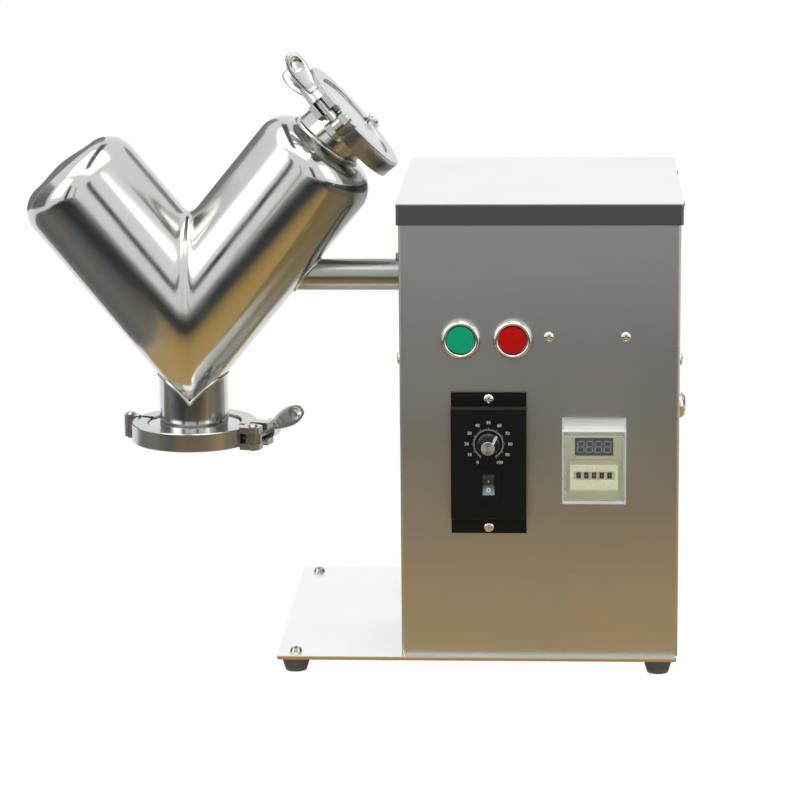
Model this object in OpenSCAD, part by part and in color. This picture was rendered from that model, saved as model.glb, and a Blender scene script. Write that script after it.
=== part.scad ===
/* [Cabinet] */
// Width of the cabinet over its side walls
cab_w = 222; // [212:1:260]
// Depth of the cabinet from the front panel to the rear edge
cab_d = 260; // [245:1:300]
// Height of the cabinet from the base plate to the top of the cover
cab_h = 368; // [358:1:420]
// Thickness of the cabinet sheet
sheet = 1.5; // [1:0.1:2]
// Outer radius of the bent corners
bend_r = 3; // [2.5:0.5:5]
// Height of the lip of the top cover
lip_h = 17; // [14:1:24]
// Width of the flanges that are folded inwards
flange_w = 15; // [13:1:18]

/* [Base] */
// Reach of the base plate to the left of the cabinet
base_left = 101; // [80:1:130]
// Reach of the base plate in front of the cabinet and behind it
base_reach = 6; // [5:1:12]
// Thickness of the base plate
base_t = 3; // [2.5:0.5:6]
// Height of a rubber foot
foot_h = 12; // [10:1:20]
// Radius of a foot under the base plate
foot_top_r = 12.2; // [11:0.1:14]
// Radius of a foot where it stands
foot_bottom_r = 8.6; // [8:0.1:10.5]
// Distance of a foot's centre from the edges of the base plate
foot_inset = 14.5; // [14:0.5:20]

/* [Vessel] */
// Outer diameter of each arm of the vessel
arm_od = 106; // [98:1:116]
// Wall of the vessel
vessel_wall = 2; // [1.5:0.1:3]
// Angle between each arm and the upright
arm_angle = 39.5; // [38:0.5:42]
// Length of the closed arm from the crossing of the axes
arm_left = 166; // [150:1:190]
// Length of the arm with the inlet from the crossing of the axes
arm_right = 188; // [170:1:190]
// Radius of the rounded shoulder at the end of an arm
knuckle_r = 24; // [18:1:30]
// Outer diameter of the two necks
neck_od = 57.5; // [50:0.5:62]
// Distance of the outlet joint below the crossing of the axes
outlet_len = 98; // [95:1:110]
// Distance of the inlet joint beyond the end of its arm
inlet_neck_len = 21.6; // [20:0.1:28]
// Tilt of the inlet port against its arm in degrees
port_tilt = 9.5; // [0:0.5:10]
// Height of the shaft above the base plate
shaft_rise = 289; // [280:1:300]
// Height of the shaft above the crossing of the axes
shaft_over = 34.5; // [28:0.5:40]
// Gap between the swinging clamp and the cabinet
swing_gap = 6.4; // [6:0.1:20]

/* [Clamps] */
// Outer radius of a clamp ring
clamp_r = 52.5; // [52:0.5:56]
// Height of a clamp ring
clamp_h = 15.5; // [15:0.5:18]
// Radius of the flanges in the clamp
flange_r = 44; // [43:0.5:44]
// Thickness of a flange at its rim
flange_rim = 2.85; // [2.6:0.05:3]
// Taper of the flanges in degrees
flange_taper = 20; // [18:1:21]
// Thickness of the gasket
gasket_t = 2; // [1.6:0.1:2.2]
// Turn of the outlet clamp about its port in degrees
outlet_turn = -18; // [-40:1:0]
// Turn of the inlet clamp about its port in degrees
inlet_turn = -106; // [-120:1:-80]
// Radius of the swing bolts
bolt_r = 4; // [3.5:0.1:4]
// Turn of the outlet wing nut on its bolt in degrees
outlet_nut_turn = -35; // [-90:1:90]
// Turn of the inlet wing nut on its bolt in degrees
inlet_nut_turn = 25; // [-90:1:90]

/* [Drive] */
// Outer diameter of the tube that carries the vessel
tube_od = 26; // [24:0.5:30]
// Diameter of the drive shaft
shaft_d = 17; // [15:0.5:17]
// Pitch radius of the pulley on the drive shaft
driven_r = 30; // [26:1:34]
// Pitch radius of the pulley on the gearhead
driving_r = 15; // [13:1:17]
// Width of the belt
belt_w = 13; // [10:1:13]
// Thickness of the belt
belt_t = 2.5; // [2:0.1:3]
// Width and height of the gearhead
gear_case = 80; // [80:1:84]
// Length of the gearhead
gear_len = 38; // [38:1:40]
// Length of the motor behind the gearhead
motor_len = 78; // [74:1:78]

/* [Controls] */
// Distance of the start button from the left side
start_x = 49; // [40:1:54]
// Distance between the start and the stop button
button_gap = 41.1; // [38:0.1:46]
// Height of the buttons above the base plate
button_z = 260.2; // [254:0.1:268]
// Outer radius of a button's bezel
bezel_r = 17; // [15.5:0.1:18]
// Radius of a button's cap
cap_r = 12.2; // [11:0.1:12.6]
// Travel of a button
button_travel = 3; // [2:0.1:3]
// Width of the speed controller
ctrl_w = 59.8; // [56:0.1:62]
// Height of the speed controller
ctrl_h = 114.9; // [110:0.1:120]
// Distance of the speed controller's left edge from the left side
ctrl_x = 41; // [38:0.5:46]
// Height of the speed controller's lower edge above the base plate
ctrl_z = 102.6; // [98:0.1:110]
// Width of the timer
timer_w = 50.4; // [48:0.1:52]
// Height of the timer
timer_h = 66.2; // [66:0.1:72]
// Distance of the timer's left edge from the left side
timer_x = 129.2; // [124:0.1:140]
// Height of the timer's lower edge above the base plate
timer_z = 130.3; // [118:0.1:134]
// Angle of the knob's pointer from the upright in degrees
knob_turn = 45; // [-150:1:150]

/* [Hidden] */
$fn = 96;

// Overrun of every cut
cut = 1;
// Gap between sheet metal parts that slide together
fit_gap = 0.3;
// Radial clearance of a shaft or pin in its bore
run_gap = 0.05;
// Radial clearance of a screw in its hole
hole_gap = 0.2;
// Smallest gap between faces that move past each other
move_gap = 0.35;

// Levels and places of the cabinet
plate_z = foot_h + base_t;
body_h = cab_h - sheet;
cab_top = plate_z + cab_h;
cover_over = sheet + fit_gap;
rear_y = cab_d + sheet;
base_right_inset = 1;
base_x = -base_left;
base_w = cab_w - base_right_inset + base_left;
base_d = cab_d + 2 * base_reach;
foot_xs = [base_x + foot_inset, base_x + base_w - foot_inset];
foot_ys = [foot_inset - base_reach, base_d - base_reach - foot_inset];

// Vessel geometry
arm_r = arm_od / 2;
arm_s = sin(arm_angle);
arm_c = cos(arm_angle);
neck_r = neck_od / 2;
bore_r = neck_r - vessel_wall;
crown = 3;
inlet_len = arm_right + inlet_neck_len;
clamp_half = clamp_h / 2;
port_angle = arm_angle + port_tilt;
lid_corner = inlet_len * arm_s + clamp_half * sin(port_angle) + clamp_r * cos(port_angle);
vessel_x = -(swing_gap + lid_corner);
shaft_y = cab_d / 2;
shaft_z = plate_z + shaft_rise;
vessel_z = shaft_z - shaft_over;
left_reach = (arm_left - knuckle_r - crown) * arm_s + (arm_r - knuckle_r) * arm_c + knuckle_r;
root_ring = 3;

// Clamp geometry, in the frame of a port with its z axis into the vessel
split = 6;
groove_gap = 2.5;
groove_r = flange_r + groove_gap;
lip_r = 39.3;
lip_edge = 0.7;
collar_r = 38;
gasket_half = gasket_t / 2;
taper_t = tan(flange_taper);
rim_half = gasket_half + flange_rim;
pin_r = 3;
pin_head = 1.6;
pin_brim = 1.2;
hinge_x = clamp_r + 2.1 * pin_r;
knuckle_out = 2 * pin_r;
knuckle_half = 3;
ear_half = 9.5;
eye_r = 7;
eye_half = 4;
bolt_out = 6;
bolt_x = clamp_r + bolt_out;
ear_out = bolt_x + eye_r;
fork_len = 16;
eye_y = -(split / 2 + fork_len / 2);
ear_len = 12;
nut_y = split / 2 + ear_len + run_gap;
nut_h = 17;
nut_travel = 21;
nut_r = 8;
hub_r = 7.5;
wing_t = 3.2;
wing_w = 16;
wing_reach = 21;
wing_rise = 45;
ring_bite = 3;
ring_in = clamp_r - ring_bite;

// Drive geometry along the shaft, from the left side of the cabinet
shaft_r = shaft_d / 2;
tube_r = tube_od / 2;
tube_end = sheet;
shaft_out = 60;
hub_screw_x = 6;
hub_screw_r = 2.5;
hub_head_r = 3.4;
hub_head_h = 5;
shaft_hole_gap = 3;
shaft_hole_r = shaft_r + shaft_hole_gap;
bearing_r = 20;
bearing_step = 3;
bearing_w = 12;
bearing_bore = shaft_r;
ball_r = 3.3;
ball_pitch = 14.25;
ball_count = 8;
land_in = 12.2;
land_out = 16.3;
cage_t = 1.8;
cage_w = 5;
house_x = 4;
house_len = 56;
house_r = 26;
house_flange_r = 39;
house_flange_t = 6;
house_bolt_r = 32;
frame_x = 40;
frame_t = 4;
frame_half = 60;
frame_rise = 44;
motor_mount_x = 90;
shaft_end = 82;
pulley_x = 64;
pulley_w = 16;
pulley_lip = 2.5;
pulley_lip_t = 1.3;
m6_r = 3;
m4_r = 2;
m5_r = 2.5;
side_screw_r = 2.4;
ctrl_screw_r = 2.2;

// Gearhead and motor
out_offset = 12;
motor_half = gear_case / 2;
motor_lift = 2;
motor_z = plate_z + frame_t + motor_half + motor_lift;
out_z = motor_z + out_offset;
gear_x = motor_mount_x + frame_t;
gear_wall = 3;
gear_plate = 4;
motor_x = gear_x + gear_len;
out_r = 6;
motor_shaft_r = 4;
axle_r = 3;
fast_module = 0.6;
slow_module = 0.85;
tooth_thin = 0.07;
pinion_teeth = 12;
wheel_teeth = 48;
fast_dist = fast_module * (pinion_teeth + wheel_teeth) / 2;
slow_dist = slow_module * (pinion_teeth + wheel_teeth) / 2;
// The cluster gear lies where both centre distances meet
cluster_dz = (fast_dist * fast_dist - slow_dist * slow_dist + out_offset * out_offset) / (2 * out_offset);
cluster_dy = -sqrt(fast_dist * fast_dist - cluster_dz * cluster_dz);
slow_w = 12;
fast_w = 8;
side_gap = 1;
wheel_gap = 3;
slow_x = gear_x + gear_plate + side_gap;
fast_x = slow_x + slow_w + wheel_gap;
motor_r = 39;
stator_r = 36;
stator_in = 22.5;
rotor_r = 22;
bell_t = 6;

// Controls
panel_holes_z = 261.9;
panel_hole_xs = [118.6, 179.2];
ctrl_flange = 3;
ctrl_raise = 9;
ctrl_lower = 12.6;
ctrl_upper = 10;
ctrl_wall = 2;
ctrl_depth = 60;
ctrl_mid_x = ctrl_x + ctrl_w / 2;
ctrl_front = ctrl_flange + ctrl_raise;
ctrl_back_w = 49;
dial_up = 75.1;
knob_x = ctrl_mid_x;
knob_z = plate_z + ctrl_z + dial_up;
knob_gap = 0.4;
skirt_r = 9.5;
skirt_t = 2.6;
grip_r = 5.8;
grip_h = 14;
grip_taper = 1;
pointer_w = 1.6;
knob_shaft_r = 3;
knob_front = ctrl_front + knob_gap + skirt_t + grip_h;
rocker_up = 42.3;
rocker_z = plate_z + ctrl_z + rocker_up;
rocker_w = 9.4;
rocker_r = 9.6;
rocker_y = -9;
rocker_tilt = 10;
rocker_dip = 3;
rocker_half = 7.5;
bezel_w = 19;
bezel_h = 27;
bezel_t = 1.5;
ctrl_screw_in = 5.2;
timer_mid_x = timer_x + timer_w / 2;
timer_drop = 10;
timer_reach = 17;
cover_wall = 1.4;
face_y = 12;
block_w = 38.4;
block_h = 21.8;
block_t = 3;
block_up = 22.7;
block_z = plate_z + timer_z + block_up - block_h / 2;
wheel_pitch = 6.1;
wheel_w = 4.6;
wheel_r = 5;
wheel_y = -8.4;
wheel_drop = 1;
wheel_z = block_z + block_h / 2 - wheel_drop;
wheel_axle_r = 1.2;
window_w = 3.6;
window_h = 5;
window_up = 1.2;
display_w = 30;
display_h = 14;
display_up = 45.5;
display_z = plate_z + timer_z + display_up;
timer_depth = 68;
barrel_r = 11;
barrel_len = 14;
bezel_depth = 6;
bezel_taper = 1.2;
bezel_floor = 1;
barrel_floor = 3;
barrel_wall = 1.5;
ring_nut_w = 3.5;
guide_gap = 0.7;
cap_bevel = 1;
stem_r = 4;
cap_out = 1.5;
cap_gap = 0.3;
spring_r = 6.4;
spring_wire = 0.5;
spring_turns = 5;
block_len = 30;
block_half = 12;
gland_y = 205;
gland_z = 162;
gland_hex_r = 13;
gland_hex_t = 4;
gland_dome = 8;
gland_r = 9.5;
gland_bore = 4.5;
gland_brim = 1.5;
gland_lip = 1;
gland_reach = gland_hex_t + gland_dome;
capacitor_r = 16;
capacitor_h = 52;

// Middle of the whole object, which is put over the origin
mid_x = (vessel_x - left_reach + cab_w + gland_reach) / 2;
mid_y = (cab_d + base_reach - knob_front) / 2;

module place() {
    translate([-mid_x, -mid_y, 0]) children();
}

// Frame of the vessel: the crossing of the two arm axes
module at_vessel() {
    place() translate([vessel_x, shaft_y, vessel_z]) children();
}

// Frames of the two ports, with their z axis into the vessel
module at_outlet() {
    at_vessel() translate([0, 0, -outlet_len]) children();
}

module at_inlet() {
    at_vessel() rotate([0, arm_angle, 0]) translate([0, 0, inlet_len]) rotate([180, port_tilt, 0]) children();
}

module at_outlet_clamp() {
    at_outlet() rotate([0, 0, outlet_turn]) children();
}

// The port is flipped over, so the turn about it changes sign
module at_inlet_clamp() {
    at_inlet() rotate([0, 0, -inlet_turn]) children();
}

// Frame of the shaft with its z axis along the shaft into the cabinet
module at_shaft() {
    place() translate([0, shaft_y, shaft_z]) rotate([0, 90, 0]) children();
}

// Frames of the gearhead's axes, along the same direction
module at_motor() {
    place() translate([0, shaft_y, motor_z]) rotate([0, 90, 0]) children();
}

module at_output() {
    place() translate([0, shaft_y, out_z]) rotate([0, 90, 0]) children();
}

module at_cluster() {
    place() translate([0, shaft_y + cluster_dy, motor_z + cluster_dz]) rotate([0, 90, 0]) children();
}

// Frame of a point on the front panel with its z axis out of the panel
module on_front(x, z) {
    place() translate([x, 0, z]) rotate([90, 0, 0]) children();
}

// Box with rounded upright edges
module upright_box(size, r) {
    translate([r, 0, 0]) cube([size[0] - 2 * r, size[1], size[2]]);
    translate([0, r, 0]) cube([size[0], size[1] - 2 * r, size[2]]);
    for (x = [r, size[0] - r], y = [r, size[1] - r])
        translate([x, y, 0]) cylinder(r = r, h = size[2]);
}

// Ring between two radii
module ring(outer, inner, h) {
    difference() {
        cylinder(r = outer, h = h);
        translate([0, 0, -cut]) cylinder(r = inner, h = h + 2 * cut);
    }
}

// Screw with a pan head above its z axis and a shank below it
module pan_screw(r, len) {
    head = 2 * r;
    difference() {
        cylinder(r1 = head, r2 = head * 0.8, h = r * 1.2);
        translate([0, 0, r]) cube([head, r / 2, r], center = true);
        translate([0, 0, r]) cube([r / 2, head, r], center = true);
    }
    translate([0, 0, -len]) cylinder(r = r, h = len);
}

// Bolt with a six-sided head above its z axis and a shank below it
module hex_bolt(r, len) {
    cylinder(r = r * 1.9, h = r * 1.3, $fn = 6);
    translate([0, 0, -len]) cylinder(r = r, h = len);
}

module hex_nut(r, h) {
    difference() {
        cylinder(r = r * 1.95, h = h, $fn = 6);
        translate([0, 0, -cut]) cylinder(r = r, h = h + 2 * cut);
    }
}

// One tooth flank of an involute gear, as [radius, angle] pairs
function inv_angle(rb, r) = r <= rb ? 0 : sqrt(r * r / (rb * rb) - 1) * 180 / PI - acos(rb / r);
function polar(r, a) = [r * cos(a), r * sin(a)];

// Outline of a spur gear with thinned teeth, the first tooth on the x axis
module gear_outline(m, teeth, top) {
    rp = m * teeth / 2;
    rb = rp * cos(20);
    ra = rp + top * m;
    rf = rp - 1.3 * m;
    thin = tooth_thin / rp * 180 / PI;
    half = 90 / teeth - thin + inv_angle(rb, rp);
    steps = 3;
    low = max(rb, rf);
    radii = [for (i = [0:steps]) low + (ra - low) * i / steps];
    polygon([for (k = [0:teeth - 1]) each concat(
        [polar(rf, k * 360 / teeth - half)],
        [for (r = radii) polar(r, k * 360 / teeth - half + inv_angle(rb, r))],
        [for (i = [steps:-1:0]) polar(radii[i], k * 360 / teeth + half - inv_angle(rb, radii[i]))],
        [polar(rf, k * 360 / teeth + half)]
    )]);
}

module base_plate() {
    color("#a9aba8") place() translate([base_x, -base_reach, foot_h]) difference() {
        upright_box([base_w, base_d, base_t], bend_r);
        translate([-base_x, base_reach, -cut]) {
            for (x = foot_xs, y = foot_ys)
                translate([x, y, 0]) cylinder(r = m5_r + hole_gap, h = base_t + 2 * cut);
            for (x = cab_bolt_xs, y = cab_bolt_ys)
                translate([x, y, 0]) cylinder(r = m4_r + hole_gap, h = base_t + 2 * cut);
            for (x = frame_bolt_xs, y = frame_bolt_ys)
                translate([x, y, 0]) cylinder(r = m6_r + hole_gap, h = base_t + 2 * cut);
        }
    }
}

// Bolts that hold the cabinet and the drive frame down
cab_bolt_xs = [flange_w / 2, cab_w - flange_w / 2];
cab_bolt_ys = [foot_ys[0] + 2.5 * foot_top_r, foot_ys[1] - 2.5 * foot_top_r];
frame_bolt_xs = [frame_x + frame_t + 3 * m6_r, motor_mount_x - 3 * m6_r];
frame_bolt_ys = [shaft_y - frame_half + 3 * m6_r, shaft_y + frame_half - 3 * m6_r];
recess_h = foot_h / 2;
recess_r = 5.6;

module rubber_feet() {
    color("#26282a") place() for (x = foot_xs, y = foot_ys) translate([x, y, 0]) difference() {
        cylinder(r1 = foot_bottom_r, r2 = foot_top_r, h = foot_h);
        translate([0, 0, -cut]) cylinder(r = m5_r + hole_gap, h = foot_h + 2 * cut);
        translate([0, 0, -cut]) cylinder(r = recess_r, h = recess_h + cut);
    }
}

module foot_screws() {
    color("#c4c6c4") place() for (x = foot_xs, y = foot_ys) translate([x, y, 0]) {
        translate([0, 0, plate_z]) pan_screw(m5_r, plate_z - recess_h + 2 * m5_r);
        translate([0, 0, recess_h - 1.6 * m5_r]) hex_nut(m5_r, 1.6 * m5_r);
    }
}

// Places of the screws that hold the rear panel, the cover and the inner braces
rear_xs = [flange_w / 2, cab_w - flange_w / 2];
rear_zs = [plate_z + 2 * flange_w, plate_z + cab_h / 2, plate_z + body_h - 2.5 * lip_h];
cover_ys = [3 * flange_w, cab_d - 3 * flange_w];
cover_screw_z = cab_top - lip_h / 2;
side_ys = [1.3 * flange_w, cab_d - 1.3 * flange_w];
side_rise = 240;
side_z = plate_z + side_rise;
shank_len = 4 * sheet;

module side_holes(r, z, ys) {
    for (y = ys) translate([-cut, y, z]) rotate([0, 90, 0]) cylinder(r = r, h = cab_w + 2 * cut);
}

module cabinet_shell() {
    color("#9a9b97") place() difference() {
        translate([0, 0, plate_z]) upright_box([cab_w, cab_d, body_h], bend_r);
        translate([sheet, sheet, plate_z + sheet])
            upright_box([cab_w - 2 * sheet, cab_d - 2 * sheet, body_h - 2 * sheet], bend_r - sheet);
        translate([flange_w, flange_w, plate_z - cut])
            cube([cab_w - 2 * flange_w, cab_d - 2 * flange_w, body_h + 2 * cut]);
        translate([flange_w, cab_d / 2, plate_z + flange_w])
            cube([cab_w - 2 * flange_w, cab_d, body_h - 2 * flange_w]);
        for (x = [start_x, start_x + button_gap]) translate([x, sheet + cut, plate_z + button_z])
            rotate([90, 0, 0]) cylinder(r = barrel_r + hole_gap, h = sheet + 2 * cut);
        for (x = panel_hole_xs) translate([x, sheet + cut, plate_z + panel_holes_z])
            rotate([90, 0, 0]) cylinder(r = m4_r + hole_gap, h = sheet + 2 * cut);
        for (z = ctrl_screw_zs) translate([ctrl_mid_x, sheet + cut, z])
            rotate([90, 0, 0]) cylinder(r = ctrl_screw_r + hole_gap, h = sheet + 2 * cut);
        translate([ctrl_mid_x - ctrl_back_w / 2 - fit_gap, -cut, ctrl_back_z - fit_gap])
            cube([ctrl_back_w + 2 * fit_gap, sheet + 2 * cut, ctrl_back_h + 2 * fit_gap]);
        translate([timer_mid_x - timer_back_w / 2 - fit_gap, -cut, timer_back_z - fit_gap])
            cube([timer_back_w + 2 * fit_gap, sheet + 2 * cut, timer_back_h + 2 * fit_gap]);
        translate([-cut, shaft_y, shaft_z]) rotate([0, 90, 0])
            cylinder(r = shaft_hole_r, h = sheet + 2 * cut);
        translate([cab_w - sheet - cut, gland_y, plate_z + gland_z]) rotate([0, 90, 0])
            cylinder(r = gland_r + hole_gap, h = sheet + 2 * cut);
        side_holes(side_screw_r + hole_gap, side_z, side_ys);
        side_holes(m4_r + hole_gap, cover_screw_z, cover_ys);
        for (x = cab_bolt_xs, y = cab_bolt_ys) translate([x, y, plate_z - cut])
            cylinder(r = m4_r + hole_gap, h = sheet + 2 * cut);
        for (y = foot_ys) translate([foot_xs[1], y, plate_z - cut])
            cylinder(r = 2 * m5_r + 2 * fit_gap, h = sheet + 2 * cut);
        for (x = rear_xs, z = rear_zs) translate([x, cab_d + cut, z]) rotate([90, 0, 0])
            cylinder(r = m4_r + hole_gap, h = sheet + 2 * cut);
    }
}

vent_count = 9;
vent_pitch = 9;
vent_w = 3.5;
vent_len_share = 0.3;

module rear_panel() {
    vent_len = cab_w * vent_len_share;
    color("#9d9e9a") place() difference() {
        translate([fit_gap, cab_d, plate_z + fit_gap])
            cube([cab_w - 2 * fit_gap, sheet, body_h - 2 * fit_gap]);
        for (x = rear_xs, z = rear_zs) translate([x, rear_y + cut, z]) rotate([90, 0, 0])
            cylinder(r = m4_r + hole_gap, h = sheet + 2 * cut);
        for (i = [0:vent_count - 1], side = [-1, 1])
            translate([cab_w / 2 + side * cab_w / 5, rear_y + cut, plate_z + cab_h / 6 + i * vent_pitch])
                rotate([90, 0, 0]) vent_slot(vent_len, vent_w);
    }
}

// Slot with round ends along the x axis
module vent_slot(len, w) {
    translate([-(len - w) / 2, -w / 2, 0]) cube([len - w, w, sheet + 2 * cut]);
    for (side = [-1, 1]) translate([side * (len - w) / 2, 0, 0])
        cylinder(r = w / 2, h = sheet + 2 * cut);
}

module top_cover() {
    full_d = cab_d + sheet + 2 * cover_over;
    color("#77797a") place() difference() {
        translate([-cover_over, -cover_over, cab_top - lip_h])
            upright_box([cab_w + 2 * cover_over, full_d, lip_h], bend_r);
        translate([-fit_gap, -fit_gap, cab_top - lip_h - cut])
            upright_box([cab_w + 2 * fit_gap, cab_d + sheet + 2 * fit_gap, lip_h - sheet + cut],
                bend_r - sheet);
        translate([-cover_over, 0, 0]) side_holes(m4_r + hole_gap, cover_screw_z, cover_ys);
        translate([cover_over, 0, 0]) side_holes(m4_r + hole_gap, cover_screw_z, cover_ys);
    }
}

module pan_head_screws() {
    color("#c9cbc9") {
        for (x = panel_hole_xs) on_front(x, plate_z + panel_holes_z) pan_screw(m4_r, shank_len);
        for (z = ctrl_screw_zs) on_front(ctrl_mid_x, z) translate([0, 0, ctrl_flange])
            pan_screw(ctrl_screw_r, shank_len + ctrl_flange);
        place() for (x = rear_xs, z = rear_zs) translate([x, rear_y, z]) rotate([-90, 0, 0])
            pan_screw(m4_r, shank_len);
        for (y = cover_ys) place() {
            translate([-cover_over, y, cover_screw_z]) rotate([0, -90, 0]) pan_screw(m4_r, shank_len);
            translate([cab_w + cover_over, y, cover_screw_z]) rotate([0, 90, 0]) pan_screw(m4_r, shank_len);
        }
        for (y = side_ys) place() {
            translate([0, y, side_z]) rotate([0, -90, 0]) pan_screw(side_screw_r, shank_len);
            translate([cab_w, y, side_z]) rotate([0, 90, 0]) pan_screw(side_screw_r, shank_len);
        }
    }
}

flange_x = frame_x + frame_t;
mount_bolt = 0.42 * gear_case;

module hex_bolts() {
    color("#b4b6b4") {
        place() for (x = cab_bolt_xs, y = cab_bolt_ys) translate([x, y, foot_h]) rotate([180, 0, 0])
            hex_bolt(m4_r, base_t + shank_len);
        place() for (x = frame_bolt_xs, y = frame_bolt_ys) translate([x, y, plate_z + frame_t])
            hex_bolt(m6_r, frame_t + base_t + m6_r);
        at_shaft() for (a = [45:90:315]) rotate([0, 0, a])
            translate([house_bolt_r, 0, flange_x + house_flange_t])
            hex_bolt(m6_r, house_flange_t + frame_t + m6_r);
        at_motor() for (y = [-1, 1], z = [-1, 1])
            translate([y * mount_bolt, z * mount_bolt, motor_mount_x]) rotate([180, 0, 0])
            hex_bolt(m5_r, frame_t + gear_plate - gear_wall / 2);
    }
}

module drive_frame() {
    frame_d = 2 * frame_half;
    mount_h = motor_z + motor_half - plate_z;
    color("#5d6468") place() difference() {
        translate([frame_x, shaft_y - frame_half, plate_z]) {
            cube([frame_t, frame_d, shaft_rise + frame_rise]);
            cube([motor_mount_x + frame_t - frame_x, frame_d, frame_t]);
            translate([motor_mount_x - frame_x, 0, 0]) cube([frame_t, frame_d, mount_h]);
        }
        translate([frame_x - cut, shaft_y, shaft_z]) rotate([0, 90, 0]) {
            cylinder(r = house_r + hole_gap, h = frame_t + 2 * cut);
            for (a = [45:90:315]) rotate([0, 0, a]) translate([house_bolt_r, 0, 0])
                cylinder(r = m6_r + hole_gap, h = frame_t + 2 * cut);
        }
        translate([motor_mount_x - cut, shaft_y, out_z]) rotate([0, 90, 0])
            cylinder(r = boss_r + hole_gap, h = frame_t + 2 * cut);
        translate([motor_mount_x - cut, shaft_y, motor_z]) rotate([0, 90, 0])
            for (y = [-1, 1], z = [-1, 1]) translate([y * mount_bolt, z * mount_bolt, 0])
                cylinder(r = m5_r + hole_gap, h = frame_t + 2 * cut);
        for (x = frame_bolt_xs, y = frame_bolt_ys) translate([x, y, plate_z - cut])
            cylinder(r = m6_r + hole_gap, h = frame_t + 2 * cut);
    }
}

module bearing_housing() {
    color("#8b9094") at_shaft() difference() {
        union() {
            translate([0, 0, house_x]) cylinder(r = house_r, h = house_len);
            translate([0, 0, flange_x]) cylinder(r = house_flange_r, h = house_flange_t);
        }
        translate([0, 0, house_x - cut]) cylinder(r = bearing_r - bearing_step, h = house_len + 2 * cut);
        translate([0, 0, house_x - cut]) cylinder(r = bearing_r, h = bearing_w + cut);
        translate([0, 0, house_x + house_len - bearing_w]) cylinder(r = bearing_r, h = bearing_w + cut);
        for (a = [45:90:315]) rotate([0, 0, a]) translate([house_bolt_r, 0, flange_x - cut])
            cylinder(r = m6_r + hole_gap, h = house_flange_t + 2 * cut);
    }
}

bearing_xs = [house_x, house_x + house_len - bearing_w];

// Raceway: a round groove around the balls
module raceway() {
    translate([0, 0, bearing_w / 2]) rotate_extrude() translate([ball_pitch, 0])
        circle(r = ball_r + move_gap);
}

module bearing_outer_rings() {
    color("#c3c7ca") at_shaft() for (x = bearing_xs) translate([0, 0, x]) difference() {
        ring(bearing_r, land_out, bearing_w);
        raceway();
    }
}

module bearing_inner_rings() {
    color("#c3c7ca") at_shaft() for (x = bearing_xs) translate([0, 0, x]) difference() {
        ring(land_in, bearing_bore, bearing_w);
        raceway();
    }
}

module bearing_balls() {
    color("#d9dcde") at_shaft() for (x = bearing_xs) translate([0, 0, x + bearing_w / 2]) {
        for (i = [0:ball_count - 1]) rotate([0, 0, i * 360 / ball_count])
            translate([ball_pitch, 0, 0]) sphere(r = ball_r);
        difference() {
            translate([0, 0, -cage_w / 2]) ring(ball_pitch + cage_t / 2, ball_pitch - cage_t / 2, cage_w);
            for (i = [0:ball_count - 1]) rotate([0, 0, i * 360 / ball_count])
                translate([ball_pitch, 0, 0]) sphere(r = ball_r + run_gap);
        }
    }
}

collar_gap = 1;

module drive_shaft() {
    collar_x = house_x + bearing_w;
    collar_len = house_len - 2 * bearing_w;
    color("#b9bdbf") at_shaft() difference() {
        union() {
            translate([0, 0, -shaft_out]) cylinder(r = shaft_r, h = shaft_out + shaft_end);
            translate([0, 0, collar_x]) cylinder(r = land_in - collar_gap, h = collar_len);
        }
        translate([shaft_r - flat_depth + shaft_r, 0, pulley_x + pulley_w / 2])
            cube([2 * shaft_r, m5_r * 2, pulley_w], center = true);
    }
}

flat_depth = 2;

module hub_tube() {
    color("#c9cdcf") difference() {
        at_shaft() translate([0, 0, vessel_x]) cylinder(r = tube_r, h = -vessel_x - tube_end);
        at_shaft() translate([0, 0, vessel_x - cut])
            cylinder(r = shaft_r + run_gap, h = -vessel_x + 2 * cut);
        at_vessel() rotate([0, arm_angle, 0]) translate([0, 0, -arm_r])
            cylinder(r = arm_r, h = arm_right + arm_r);
        at_shaft() translate([-tube_r - cut, 0, -hub_screw_x]) rotate([0, 90, 0])
            cylinder(r = hub_screw_r + run_gap, h = tube_r + cut);
    }
}

module hub_screw() {
    color("#8f9395") at_shaft() translate([-shaft_r - run_gap, 0, -hub_screw_x]) rotate([0, -90, 0])
        difference() {
            union() {
                cylinder(r = hub_screw_r, h = tube_r - shaft_r - run_gap);
                translate([0, 0, tube_r - shaft_r - run_gap]) cylinder(r = hub_head_r, h = hub_head_h);
            }
            translate([0, 0, tube_r - shaft_r + hub_head_h / 2])
                cylinder(r = hub_screw_r * 0.8, h = hub_head_h, $fn = 6);
        }
}

module pulley(r, bore) {
    difference() {
        union() {
            cylinder(r = r, h = pulley_w);
            for (z = [0, pulley_w - pulley_lip_t]) translate([0, 0, z])
                cylinder(r = r + pulley_lip, h = pulley_lip_t);
        }
        translate([0, 0, -cut]) cylinder(r = bore, h = pulley_w + 2 * cut);
    }
}

module driven_pulley() {
    color("#8d9498") at_shaft() translate([0, 0, pulley_x]) difference() {
        pulley(driven_r, shaft_r);
        for (a = [30:60:330]) rotate([0, 0, a]) translate([(driven_r + shaft_r) / 2, 0, -cut])
            cylinder(r = (driven_r - shaft_r) / 4, h = pulley_w + 2 * cut);
    }
}

module driving_pulley() {
    color("#8d9498") at_output() translate([0, 0, pulley_x]) pulley(driving_r, out_r);
}

// Outline of the belt's run at a distance from the pulleys, driving axis at the origin
module belt_outline(gap) {
    c = shaft_z - out_z;
    low = driving_r + gap;
    high = driven_r + gap;
    ny = -(driven_r - driving_r) / c;
    nx = sqrt(1 - ny * ny);
    circle(r = low);
    translate([0, c]) circle(r = high);
    polygon([[low * nx, low * ny], [high * nx, c + high * ny],
        [-high * nx, c + high * ny], [-low * nx, low * ny]]);
}

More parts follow.
